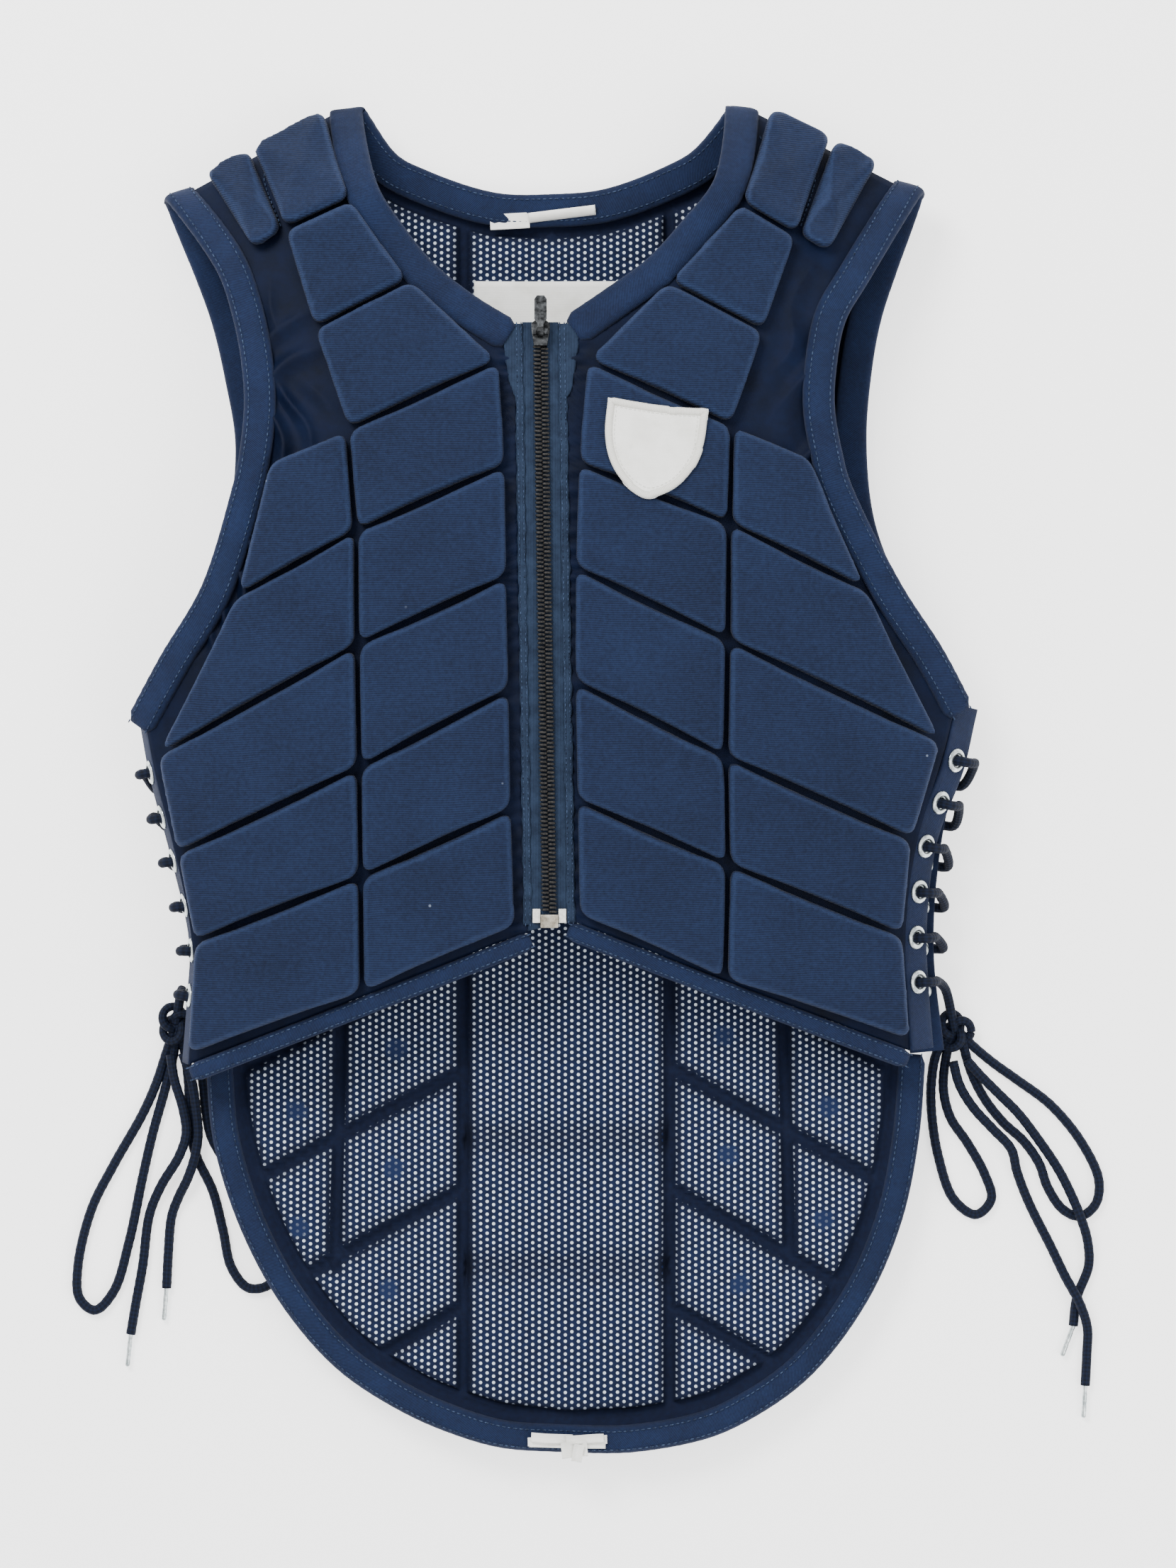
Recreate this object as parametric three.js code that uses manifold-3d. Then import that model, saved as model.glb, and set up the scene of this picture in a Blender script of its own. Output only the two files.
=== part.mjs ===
// A riding body protector, lying on its back with the zip closed and both side laces tied in bows.
// Millimetres. +Y points to the shoulders, +Z is up, and z = 0 is the floor.
// Left and right in the names are as seen from above, so the right is the wearer's left.
import * as THREE from "three";
import { mergeVertices } from "three/addons/utils/BufferGeometryUtils.js";
import Module from "manifold-3d";

const wasm = await Module();
wasm.setup();

// Overall sizes
const halfWidth = 241; // from the middle to the underarm corner
const halfLength = 394; // half of the length from the shoulders to the end of the tail
const chestHeight = 80; // front cloth over the floor, where the chest is highest
const sideHeight = 44; // front cloth over the floor at the laced side
const foldHeight = 31; // front cloth over the floor at the shoulder fold
const foldReach = 45; // how far from the shoulder the front begins to turn down
const waistShare = 0.87; // width at the waist, as a share of the width under the arms

// Cloth, foam and trim
const cloth = 2.5; // front and lining cloth
const padHeight = 10.5; // front foam pads
const padSeat = { chest: 0.9, side: 1.3 }; // from the cloth to a pad, at its middle
const padGroove = 2.6; // between neighbouring pads
const padCorner = 5; // corner radius of a pad
const padRound = 3; // rounding of a pad's upper edge
const backFoam = 9.7; // foam of the back, under the lining
const gap = 0.3; // between pieces that touch
const neckBand = 15; // width of the neck binding
const armBand = 14;
const hemBand = 10;
const tailBand = 11;
const bandHeight = 7;
const bandGap = 0.6; // between a binding and the edge that it covers
const curlReach = 55; // how far in from its edge the back curls up
const edgeLift = 12.5; // how high it curls at most

// Zip
const tapeHeight = 1.6;
const teethWidth = 8.8;
const teethHeight = 3;
const stopLength = 8;
const stopHeight = 3.6;
const stopOverhang = 0.8; // on each side of the teeth
const sliderWidth = 10.5;
const sliderLength = 14.5;
const sliderHeight = 5.5;
const bailDiameter = 2;
const bailRise = 3.2; // axis of the bail over the slider
const postWidth = 2;
const postLength = 3.2;
const pullLength = 24;
const pullWidth = 7;
const pullThickness = 1.8;
const pullClearance = 0.5;
const pullWall = 1.1; // round the bail

// Lacing
const cordDiameter = 5;
const cordStep = 14;
const loopStep = 18;
const cordSides = 8;
const stripWidth = 20; // the cloth strip that holds the eyelets
const stripThickness = 3;
const eyeletDiameter = 14;
const eyeletBore = 7.4;
const eyeletRise = 1.2;
const eyeletLip = 0.6; // of metal inside the bore
const laceClearance = 1.4;
const knotRadius = 6.5;
const agletDiameter = 3.4;
const agletLength = 20;

// Badge and labels
const badgeWidth = 57;
const badgeHeight = 54;
const badgeThickness = 1.6;
const liningLabel = { width: 91, height: 60, thickness: 1 };
const sizeLabel = { width: 22, height: 9, thickness: 1 };
const foldedLabel = { width: 39, height: 5, raise: 1 }; // the part of the size label that stands on edge
const careLabel = { width: 47, height: 8, thickness: 3 };

const v3 = (x, y, z) => new THREE.Vector3(x, y, z);
const clamp = (value, low, high) => Math.min(Math.max(value, low), high);

// Materials
const fabrics = {
  pad: { color: 0x2b3a5c, roughness: 0.85 },
  cloth: { color: 0x141d33, roughness: 0.55 },
  binding: { color: 0x24304c, roughness: 0.8 },
  lining: { color: 0x5c6c8a, roughness: 0.9 },
  cord: { color: 0x141a2c, roughness: 0.8 },
  tape: { color: 0x26375a, roughness: 0.85 },
  teeth: { color: 0x1a1917, roughness: 0.45 },
  dark_metal: { color: 0x3c3d3e, roughness: 0.35, metalness: 0.9 },
  pale_metal: { color: 0xcdd3d2, roughness: 0.3, metalness: 0.9 },
  label: { color: 0xe9e9e5, roughness: 0.8 },
};

const vest = new THREE.Group();

function piece(name, geometry, fabric, parent = vest) {
  const mesh = new THREE.Mesh(geometry, new THREE.MeshStandardMaterial(fabrics[fabric]));
  mesh.name = name;
  parent.add(mesh);
  return mesh;
}

// Front outline of each side, from the shoulder to the hem. Shares of halfWidth and halfLength.
const frontRows = {
  left: [
    { inner: [-0.517, 0.985], outer: [-0.874, 0.866] },
    { inner: [-0.471, 0.849], outer: [-0.742, 0.76] },
    { inner: [-0.405, 0.785], outer: [-0.7, 0.69] },
    { inner: [-0.328, 0.727], outer: [-0.676, 0.621] },
    { inner: [-0.225, 0.675], outer: [-0.667, 0.545] },
    { inner: [-0.113, 0.632], outer: [-0.683, 0.455] },
    { inner: [-0.083, 0.6], outer: [-0.7, 0.41] },
    { inner: [-0.08, 0.465], outer: [-0.775, 0.27] },
    { inner: [-0.078, 0.38], outer: [-0.88, 0.165] },
    { inner: [-0.077, 0.304], outer: [-0.965, 0.075] },
    { inner: [-0.074, 0.25], outer: [-0.945, 0.01] },
    { inner: [-0.07, 0.139], outer: [-0.895, -0.105] },
    { inner: [-0.063, -0.032], outer: [-0.85, -0.234] },
    { inner: [-0.06, -0.124], outer: [-0.857, -0.322] },
    { inner: [-0.057, -0.215], outer: [-0.868, -0.412] },
  ],
  right: [
    { inner: [0.48, 0.985], outer: [0.835, 0.876] },
    { inner: [0.443, 0.858], outer: [0.7, 0.745] },
    { inner: [0.36, 0.79], outer: [0.64, 0.68] },
    { inner: [0.268, 0.729], outer: [0.615, 0.605] },
    { inner: [0.165, 0.682], outer: [0.61, 0.54] },
    { inner: [0.067, 0.64], outer: [0.629, 0.468] },
    { inner: [0.035, 0.605], outer: [0.65, 0.42] },
    { inner: [0.031, 0.465], outer: [0.775, 0.27] },
    { inner: [0.031, 0.39], outer: [0.88, 0.175] },
    { inner: [0.031, 0.315], outer: [0.955, 0.095] },
    { inner: [0.031, 0.26], outer: [0.93, 0.03] },
    { inner: [0.036, 0.149], outer: [0.862, -0.083] },
    { inner: [0.041, -0.019], outer: [0.838, -0.222] },
    { inner: [0.045, -0.11], outer: [0.845, -0.308] },
    { inner: [0.048, -0.2], outer: [0.856, -0.392] },
  ],
};
const neckRow = 5; // the row where the neck edge meets the zip
const zipRow = 6; // the row where the zip begins
const cornerRow = 9; // the row that ends in the underarm corner

// Lines between the pads, from the shoulder down. Shares of halfWidth and halfLength.
const padLines = {
  left: [
    { zip: [-0.535, 0.98], middle: [-0.717, 0.925], side: [-0.83, 0.885] },
    { zip: [-0.471, 0.843], middle: [-0.632, 0.8], side: [-0.702, 0.768] },
    { zip: [-0.331, 0.724], middle: [-0.561, 0.652], side: [-0.624, 0.636] },
    { zip: [-0.119, 0.608], middle: [-0.48, 0.506], side: [-0.66, 0.462] },
    { zip: [-0.104, 0.455], middle: [-0.458, 0.361], side: [-0.74, 0.268] },
    { zip: [-0.1, 0.297], middle: [-0.455, 0.199], side: [-0.925, 0.04] },
    { zip: [-0.095, 0.134], middle: [-0.451, 0.023], side: [-0.88, -0.101] },
    { zip: [-0.09, -0.036], middle: [-0.449, -0.135], side: [-0.84, -0.23] },
    { zip: [-0.08, -0.208], middle: [-0.446, -0.304], side: [-0.858, -0.398] },
  ],
  right: [
    { zip: [0.51, 0.98], middle: [0.664, 0.935], side: [0.781, 0.9] },
    { zip: [0.445, 0.838], middle: [0.58, 0.79], side: [0.655, 0.765] },
    { zip: [0.272, 0.721], middle: [0.502, 0.648], side: [0.56, 0.625] },
    { zip: [0.08, 0.609], middle: [0.426, 0.512], side: [0.605, 0.468] },
    { zip: [0.06, 0.458], middle: [0.417, 0.372], side: [0.74, 0.278] },
    { zip: [0.052, 0.31], middle: [0.414, 0.206], side: [0.915, 0.06] },
    { zip: [0.052, 0.146], middle: [0.409, 0.038], side: [0.848, -0.081] },
    { zip: [0.056, -0.023], middle: [0.416, -0.117], side: [0.826, -0.221] },
    { zip: [0.062, -0.192], middle: [0.409, -0.285], side: [0.844, -0.376] },
  ],
};
const firstSideLine = 3; // the line where the side pads begin

// Back outline, from the shoulder to the end of the tail. The outer point is on the edge, and the inner one on
// the neck edge or the spine. Shares of halfWidth, of halfLength, and of edgeLift for the curl upwards.
const backRows = {
  left: [
    { outer: [-0.874, 0.858, 1], inner: [-0.5, 0.972, 1] },
    { outer: [-0.81, 0.765, 0.6], inner: [-0.42, 0.9, 0.44] },
    { outer: [-0.765, 0.69, 0.28], inner: [-0.33, 0.87, 0.1] },
    { outer: [-0.73, 0.6, 0.2], inner: [-0.15, 0.835, 0] },
    { outer: [-0.705, 0.5, 0.2], inner: [0, 0.832, 0] },
    { outer: [-0.725, 0.38, 0.28], inner: [0, 0.7, 0] },
    { outer: [-0.79, 0.27, 0.44], inner: [0, 0.52, 0] },
    { outer: [-0.875, 0.165, 0.6], inner: [0, 0.36, 0] },
    { outer: [-0.87, 0.06, 0.5], inner: [0, 0.2, 0] },
    { outer: [-0.79, -0.1, 0.5], inner: [0, 0, 0] },
    { outer: [-0.775, -0.25, 0.5], inner: [0, -0.2, 0] },
    { outer: [-0.79, -0.4, 0.6], inner: [0.01, -0.36, 0] },
    { outer: [-0.77, -0.52, 0.92], inner: [0.02, -0.5, 0] },
    { outer: [-0.71, -0.64, 0.92], inner: [0.03, -0.63, 0] },
    { outer: [-0.61, -0.755, 0.92], inner: [0.035, -0.75, 0] },
    { outer: [-0.48, -0.845, 0.84], inner: [0.037, -0.85, 0.04] },
    { outer: [-0.3, -0.91, 0.84], inner: [0.038, -0.92, 0.28] },
    { outer: [-0.13, -0.945, 0.84], inner: [0.039, -0.955, 0.84] },
  ],
  right: [
    { outer: [0.835, 0.868, 1], inner: [0.47, 0.972, 1] },
    { outer: [0.78, 0.775, 0.6], inner: [0.385, 0.905, 0.44] },
    { outer: [0.735, 0.69, 0.28], inner: [0.3, 0.875, 0.1] },
    { outer: [0.71, 0.6, 0.2], inner: [0.14, 0.84, 0] },
    { outer: [0.7, 0.5, 0.2], inner: [0, 0.832, 0] },
    { outer: [0.72, 0.38, 0.28], inner: [0, 0.7, 0] },
    { outer: [0.785, 0.27, 0.44], inner: [0, 0.52, 0] },
    { outer: [0.87, 0.165, 0.6], inner: [0, 0.36, 0] },
    { outer: [0.89, 0.06, 0.76], inner: [0, 0.2, 0] },
    { outer: [0.84, -0.1, 0.76], inner: [0, 0, 0] },
    { outer: [0.825, -0.25, 0.84], inner: [0, -0.2, 0] },
    { outer: [0.85, -0.4, 0.92], inner: [0.01, -0.36, 0] },
    { outer: [0.835, -0.52, 0.92], inner: [0.02, -0.5, 0] },
    { outer: [0.795, -0.64, 0.92], inner: [0.03, -0.63, 0] },
    { outer: [0.715, -0.755, 0.92], inner: [0.035, -0.75, 0] },
    { outer: [0.58, -0.86, 0.84], inner: [0.037, -0.85, 0.04] },
    { outer: [0.39, -0.93, 0.84], inner: [0.038, -0.92, 0.28] },
    { outer: [0.2, -0.952, 0.84], inner: [0.039, -0.955, 0.84] },
  ],
};
const backNeckRow = 4; // the row that starts at the middle of the neck edge
const backSideRows = [8, 12]; // the rows along which the back's side is laced
const tailRow = 11; // the row where the tail binding begins

// Height of the front's crest along the body. Shares of halfLength and of chestHeight.
const crests = [
  { along: -0.45, height: 0.8 },
  { along: -0.2, height: 0.86 },
  { along: 0.1, height: 0.96 },
  { along: 0.35, height: 1 },
  { along: 0.6, height: 0.93 },
  { along: 0.8, height: 0.82 },
  { along: 1.05, height: 0.7 },
];

// How each side is laced: where its knot hangs, and how far the front strip turns down, in degrees
const sides = {
  left: { turn: 60, lead: 2, knot: [-220, -141, 8] },
  right: { turn: 45, lead: 1.4, knot: [235, -145, 8] },
};
const backLead = 3; // from the back's edge to its eyelet strip
const eyeletCount = 6;
const eyeletFirst = 0.12; // share of the strip's length
const eyeletLast = 0.8;

// The top of the zip, and where the badge and the labels sit. Shares of halfWidth and halfLength.
const zipTop = { left: [-0.07, 0.665], right: [0.018, 0.665] };
const badgeAt = [0.238, 0.478];
const liningLabelAt = [0, 0.665];
const sizeLabelAt = [-0.055, 0.815];
const careLabelAt = [0.037, -0.967];

// The bows' loops, from the knot and back to it
const loops = {
  left: [
    [
      [-220, -141, 8], [-226, -158, 4], [-232, -176, 2.9], [-240, -194, 2.9], [-257, -224, 2.9],
      [-270, -250, 2.9], [-278, -284, 2.9], [-277, -302, 2.9], [-268, -309, 2.9], [-257, -298, 2.9],
      [-248, -269, 2.9], [-240, -231, 2.9], [-234, -205, 2.9], [-227, -180, 2.9], [-222, -160, 4], [-219, -141, 8],
    ],
    [
      [-218, -141, 8], [-215, -160, 3.5], [-213, -178, 2.9], [-213, -192, 2.9], [-212, -206, 2.9],
      [-208, -220, 2.9], [-199, -239, 2.9], [-193, -262, 2.9], [-188, -284, 2.9], [-178, -296, 2.9],
      [-166, -294, 2.9], [-161, -283, 2.9], [-167, -265, 2.9], [-178, -246, 2.9], [-190, -225, 2.9],
      [-200, -207, 2.9], [-203, -192, 2.9], [-205, -174, 2.9], [-209, -158, 4], [-217, -141, 8],
    ],
  ],
  right: [
    [
      [233, -145, 8], [225, -158, 4], [222, -174, 2.9], [222, -193, 2.9], [226, -219, 2.9], [235, -244, 2.9],
      [248, -253, 2.9], [257, -244, 2.9], [253, -229, 2.9], [243, -211, 2.9], [233, -196, 2.9],
      [229, -180, 2.9], [230, -163, 4], [234, -145, 8],
    ],
    [
      [237, -145, 8], [246, -154, 4], [258, -164, 2.9], [272, -174, 2.9], [292, -189, 2.9], [310, -211, 2.9],
      [320, -233, 2.9], [318, -247, 2.9], [309, -254, 2.9], [299, -250, 2.9], [290, -237, 2.9],
      [285, -223, 2.9], [276, -210, 2.9], [264, -199, 2.9], [253, -185, 2.9], [245, -169, 3.5], [238, -145, 8],
    ],
  ],
};

// The laces' free ends, from the knot to the tin end
const tails = {
  left: [
    [
      [-223, -159, 10], [-221, -173, 8.9], [-216, -190, 8.8], [-214, -205, 8.8], [-218, -218, 8.7],
      [-229, -236, 5], [-236, -253, 2.9], [-240, -283, 2.9], [-244, -305, 2.9], [-247, -323, 2.9],
    ],
    [
      [-216, -158, 9.6], [-211, -173, 8.9], [-208, -192, 8.8], [-207, -206, 8.8], [-209, -219, 8.7],
      [-213, -231, 8.6], [-219, -243, 4], [-223, -254, 2.9], [-225, -276, 2.9], [-226, -296, 2.9],
    ],
  ],
  right: [
    [
      [242, -162, 10], [250, -171, 8.9], [261, -182, 8.8], [272, -193, 8.7], [283, -207, 5], [296, -226, 2.9],
      [303, -240, 6], [309, -255, 8.8], [313, -268, 6], [314, -283, 2.9], [307, -302, 2.9], [305, -318, 2.9],
    ],
    [
      [234, -163, 10], [238, -177, 8.9], [246, -190, 8.8], [257, -202, 8.8], [268, -214, 8.7], [272, -228, 4],
      [279, -246, 2.9], [292, -272, 2.9], [300, -289, 6], [308, -304, 8.8], [313, -319, 5], [313, -334, 2.9],
      [312, -353, 2.9],
    ],
  ],
};
const agletAims = {
  left: [[-0.1, -1], [-0.08, -1]],
  right: [[-0.35, -0.94], [-0.05, -1]],
};

const at = ([x, y]) => [x * halfWidth, y * halfLength];

// A smooth value through the rows of a table
function along(table, key, value, place) {
  let i = 0;
  while (i < table.length - 2 && table[i + 1][key] < place) i += 1;
  const from = table[i];
  const to = table[i + 1];
  const share = clamp((place - from[key]) / (to[key] - from[key]), 0, 1);
  return from[value] + (to[value] - from[value]) * share * share * (3 - 2 * share);
}

// Half width of the body at a height along it
function widthAt(y) {
  const share = clamp((y / halfLength + 0.4) / 0.5, 0, 1);
  return halfWidth * (waistShare + (1 - waistShare) * share * share * (3 - 2 * share));
}

// The shoulder line runs down from the neck to the armhole
function shoulderAt(x) {
  return halfLength * (0.985 - 0.32 * (Math.abs(x) / halfWidth - 0.5));
}

// Height of the front cloth
function frontHeight(x, y) {
  const across = Math.abs(x) / widthAt(y);
  const arch = 1 - 0.35 * across ** 2 - 0.65 * across ** 6;
  const crest = chestHeight * along(crests, "along", "height", y / halfLength);
  const z = sideHeight + (crest - sideHeight) * Math.max(arch, -0.3);
  const toFold = clamp((shoulderAt(x) - y) / foldReach, 0, 1);
  return foldHeight + (z - foldHeight) * (1 - (1 - toFold) ** 2.5);
}

function frontNormal(x, y) {
  const step = 1;
  const slopeX = (frontHeight(x + step, y) - frontHeight(x - step, y)) / (2 * step);
  const slopeY = (frontHeight(x, y + step) - frontHeight(x, y - step)) / (2 * step);
  return v3(-slopeX, -slopeY, 1).normalize();
}

// A point over the front cloth
function onFront([x, y], rise = 0) {
  return v3(x, y, frontHeight(x, y)).addScaledVector(frontNormal(x, y), rise);
}

// A grid between an inner and an outer curve of a table, smooth from row to row
function frontGrid(rows, columns) {
  const inner = rows.map((row) => at(row.inner));
  const outer = rows.map((row) => at(row.outer));
  return inner.map((start, i) =>
    Array.from({ length: columns + 1 }, (_, j) => {
      const share = j / columns;
      return onFront([
        start[0] + (outer[i][0] - start[0]) * share,
        start[1] + (outer[i][1] - start[1]) * share,
      ]);
    }),
  );
}

// The back's lining, flat in the middle and curling up to its edges
const backHeight = cloth + gap + backFoam;
function backGrid(rows, columns) {
  return rows.map(({ outer, inner }) => {
    const [x0, y0] = at(inner);
    const [x1, y1] = at(outer);
    const length = Math.hypot(x1 - x0, y1 - y0);
    return Array.from({ length: columns + 1 }, (_, j) => {
      const share = j / columns;
      const edge = Math.max(0, 1 - ((1 - share) * length) / curlReach) ** 2;
      const neck = Math.max(0, 1 - (share * length) / curlReach) ** 2;
      const rise = edgeLift * Math.max(outer[2] * edge, inner[2] * neck);
      return v3(x0 + (x1 - x0) * share, y0 + (y1 - y0) * share, backHeight + rise);
    });
  });
}

// The four-sided cells of a grid, facing up
function cells(grid) {
  const made = [];
  for (let i = 0; i < grid.length - 1; i += 1)
    for (let j = 0; j < grid[i].length - 1; j += 1)
      made.push([grid[i][j], grid[i + 1][j], grid[i + 1][j + 1], grid[i][j + 1]]);
  const [a, b, , d] = made[0];
  const up = (b.x - a.x) * (d.y - a.y) - (b.y - a.y) * (d.x - a.x) > 0;
  return up ? made : made.map((cell) => cell.reverse());
}

function geometryOf(points, triangles) {
  const geometry = new THREE.BufferGeometry().setFromPoints(points);
  let volume = 0;
  for (const [a, b, c] of triangles)
    volume += points[a].dot(v3(0, 0, 0).crossVectors(points[b], points[c]));
  geometry.setIndex(triangles.flatMap(([a, b, c]) => (volume < 0 ? [a, c, b] : [a, b, c])));
  return geometry;
}

// A closed wall on a surface of cells, between two heights over it
function wall(quads, low, high) {
  const points = [];
  const places = new Map();
  const index = (p) => {
    const key = [p.x, p.y, p.z].map((n) => n.toFixed(3)).join();
    if (!places.has(key)) places.set(key, points.push(p) - 1);
    return places.get(key);
  };
  const faces = quads.map((quad) => quad.map(index));
  const normals = points.map(() => v3(0, 0, 0));
  const open = new Map();
  const flat = [];
  for (const [a, b, c, d] of faces) {
    const normal = v3(0, 0, 0).crossVectors(
      points[c].clone().sub(points[a]),
      points[d].clone().sub(points[b]),
    );
    for (const corner of [a, b, c, d]) normals[corner].add(normal);
    flat.push([a, b, c], [a, c, d]);
    for (const [from, to] of [[a, b], [b, c], [c, d], [d, a]])
      if (!open.delete(`${to},${from}`)) open.set(`${from},${to}`, [from, to]);
  }
  const count = points.length;
  const layers = [low, high].flatMap((rise) =>
    points.map((p, i) => p.clone().addScaledVector(normals[i].clone().normalize(), rise)),
  );
  const triangles = flat.flatMap(([a, b, c]) => [
    [a, c, b],
    [a + count, b + count, c + count],
  ]);
  for (const [from, to] of open.values())
    triangles.push([from, to, to + count], [from, to + count, from + count]);
  return geometryOf(layers, triangles);
}

// A closed skin over rings of points, with a point at each end
function skin(first, rings, last) {
  const size = rings[0].length;
  const points = [first, ...rings.flat(), last];
  const end = points.length - 1;
  const place = (ring, j) => 1 + ring * size + (j % size);
  const triangles = [];
  for (let j = 0; j < size; j += 1) {
    triangles.push([0, place(0, j + 1), place(0, j)]);
    for (let i = 0; i < rings.length - 1; i += 1)
      triangles.push(
        [place(i, j), place(i, j + 1), place(i + 1, j + 1)],
        [place(i, j), place(i + 1, j + 1), place(i + 1, j)],
      );
    triangles.push([end, place(rings.length - 1, j), place(rings.length - 1, j + 1)]);
  }
  return geometryOf(points, triangles);
}

// A foam pad over four corners, given in turn. Where the body is round, its edges and faces are split
// to follow it.
function pad(corners, round) {
  const splits = round ? 3 : 1;
  const seat = round ? padSeat.side : padSeat.chest;
  const [a, b, c, d] = corners.map(at);
  const lengthS = (Math.hypot(b[0] - a[0], b[1] - a[1]) + Math.hypot(c[0] - d[0], c[1] - d[1])) / 2;
  const lengthT = (Math.hypot(d[0] - a[0], d[1] - a[1]) + Math.hypot(c[0] - b[0], c[1] - b[1])) / 2;
  const spot = (s, t, rise) => {
    const mix = (k) => (a[k] * (1 - s) + b[k] * s) * (1 - t) + (d[k] * (1 - s) + c[k] * s) * t;
    return onFront([mix(0), mix(1)], seat + rise);
  };
  const ring = (inset, rise, size = 1) => {
    const edge = padGroove / 2 + inset;
    const turns = [[1, 0], [0.3, 0.3], [0, 1]];
    const quarter = (s, t, order) =>
      order.map(([ks, kt]) => {
        const ds = (edge + padCorner * ks) / lengthS;
        const dt = (edge + padCorner * kt) / lengthT;
        const u = s ? 1 - ds : ds;
        const w = t ? 1 - dt : dt;
        return spot(0.5 + (u - 0.5) * size, 0.5 + (w - 0.5) * size, rise);
      });
    const edgeSpots = (t) =>
      Array.from({ length: splits }, (_, i) => {
        const s = (i + 1) / (splits + 1);
        const w = t ? 1 - edge / lengthT : edge / lengthT;
        return spot(0.5 + (s - 0.5) * size, 0.5 + (w - 0.5) * size, rise);
      });
    const back = [...turns].reverse();
    return [
      ...quarter(0, 0, back),
      ...edgeSpots(0),
      ...quarter(1, 0, turns),
      ...quarter(1, 1, back),
      ...edgeSpots(1).reverse(),
      ...quarter(0, 1, turns),
    ];
  };
  const rings = [ring(0, 0), ring(0, padHeight - padRound), ring(padRound, padHeight)];
  if (round) {
    rings.unshift(ring(0, 0, 0.5));
    rings.push(ring(padRound, padHeight, 0.5));
  }
  return skin(spot(0.5, 0.5, 0), rings, spot(0.5, 0.5, padHeight));
}

// A flat band along a path of { point, normal }, moved off the path by its own half width
function band(path, width, outwards, rise = 0) {
  const half = [[-0.5, 0], [-0.34, 0.5], [0.34, 0.5], [0.5, 0], [0.34, -0.5], [-0.34, -0.5]];
  const frames = path.map(({ point, normal }, i) => {
    const before = path[Math.max(i - 1, 0)].point;
    const after = path[Math.min(i + 1, path.length - 1)].point;
    const tangent = after.clone().sub(before).normalize();
    const side = v3(0, 0, 0).crossVectors(normal, tangent).normalize().multiplyScalar(outwards);
    const up = v3(0, 0, 0).crossVectors(tangent, side).normalize().multiplyScalar(outwards);
    const centre = point.clone().addScaledVector(side, width / 2 + bandGap).addScaledVector(up, rise);
    return { centre, side, up };
  });
  const rings = frames.map(({ centre, side, up }) =>
    half.map(([w, h]) =>
      centre.clone().addScaledVector(side, w * width).addScaledVector(up, h * bandHeight),
    ),
  );
  return skin(frames[0].centre, rings, frames.at(-1).centre);
}

function asSolid(geometry) {
  const bare = new THREE.BufferGeometry().setAttribute("position", geometry.getAttribute("position"));
  if (geometry.index) bare.setIndex(geometry.index);
  const merged = mergeVertices(bare, 1e-4);
  return new wasm.Manifold(
    new wasm.Mesh({
      numProp: 3,
      vertProperties: merged.attributes.position.array,
      triVerts: new Uint32Array(merged.index.array),
    }),
  );
}

function fromSolid(solid) {
  const mesh = solid.getMesh();
  return new THREE.BufferGeometry()
    .setAttribute("position", new THREE.BufferAttribute(mesh.vertProperties, 3))
    .setIndex(new THREE.BufferAttribute(mesh.triVerts, 1));
}

// A round bar along a smooth route
function tube(route, diameter, sidesRound = cordSides, step = cordStep) {
  const path = new THREE.CatmullRomCurve3(route.map((p) => v3(...p)), false, "centripetal");
  const corners = Array.from({ length: sidesRound }, (_, i) => {
    const angle = (2 * Math.PI * i) / sidesRound;
    return new THREE.Vector2((Math.cos(angle) * diameter) / 2, (Math.sin(angle) * diameter) / 2);
  });
  return new THREE.ExtrudeGeometry(new THREE.Shape(corners), {
    steps: Math.round(path.getLength() / step),
    extrudePath: path,
    bevelEnabled: false,
  });
}

// A round cord with a ring of sides at each point of its route
function rope(route, diameter, count) {
  const points = route.map((p) => v3(...p));
  let across = v3(0, 0, 1);
  const rings = points.map((p, i) => {
    const before = points[Math.max(i - 1, 0)];
    const after = points[Math.min(i + 1, points.length - 1)];
    const tangent = after.clone().sub(before).normalize();
    across = across.clone().addScaledVector(tangent, -across.dot(tangent)).normalize();
    const other = tangent.clone().cross(across);
    return Array.from({ length: count }, (_, j) => {
      const angle = (2 * Math.PI * j) / count;
      const spoke = across.clone().multiplyScalar(Math.cos(angle)).addScaledVector(other, Math.sin(angle));
      return p.clone().addScaledVector(spoke, diameter / 2);
    });
  });
  return skin(points[0], rings, points.at(-1));
}

// A plate over a flat outline, standing on the plane it is given
function plate(outline, thickness) {
  return new THREE.ExtrudeGeometry(new THREE.Shape(outline.map((p) => new THREE.Vector2(...p))), {
    depth: thickness,
    bevelEnabled: false,
    curveSegments: 4,
  });
}

function box(width, length, height, x = 0, y = 0, z = 0) {
  return new THREE.BoxGeometry(width, length, height).translate(x, y, z);
}

const frontGrids = {};
const backGrids = {};
for (const side of ["left", "right"]) {
  frontGrids[side] = frontGrid(frontRows[side], 7);
  backGrids[side] = backGrid(backRows[side], 4);
}

function frontPanels() {
  for (const side of ["left", "right"]) {
    piece(`front_panel_${side}`, wall(cells(frontGrids[side]), -cloth, 0), "cloth");
    const lines = padLines[side];
    for (let i = 0; i < lines.length - 1; i += 1) {
      const [top, low] = [lines[i], lines[i + 1]];
      const inner = i ? `chest_pad_${i}_${side}` : `shoulder_pad_inner_${side}`;
      piece(inner, pad([top.zip, top.middle, low.middle, low.zip], false), "pad");
      if (i && i < firstSideLine) continue;
      const outer = i ? `side_pad_${i - firstSideLine + 1}_${side}` : `shoulder_pad_outer_${side}`;
      piece(outer, pad([top.middle, top.side, low.side, low.middle], i > 0), "pad");
    }
  }
}

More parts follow.
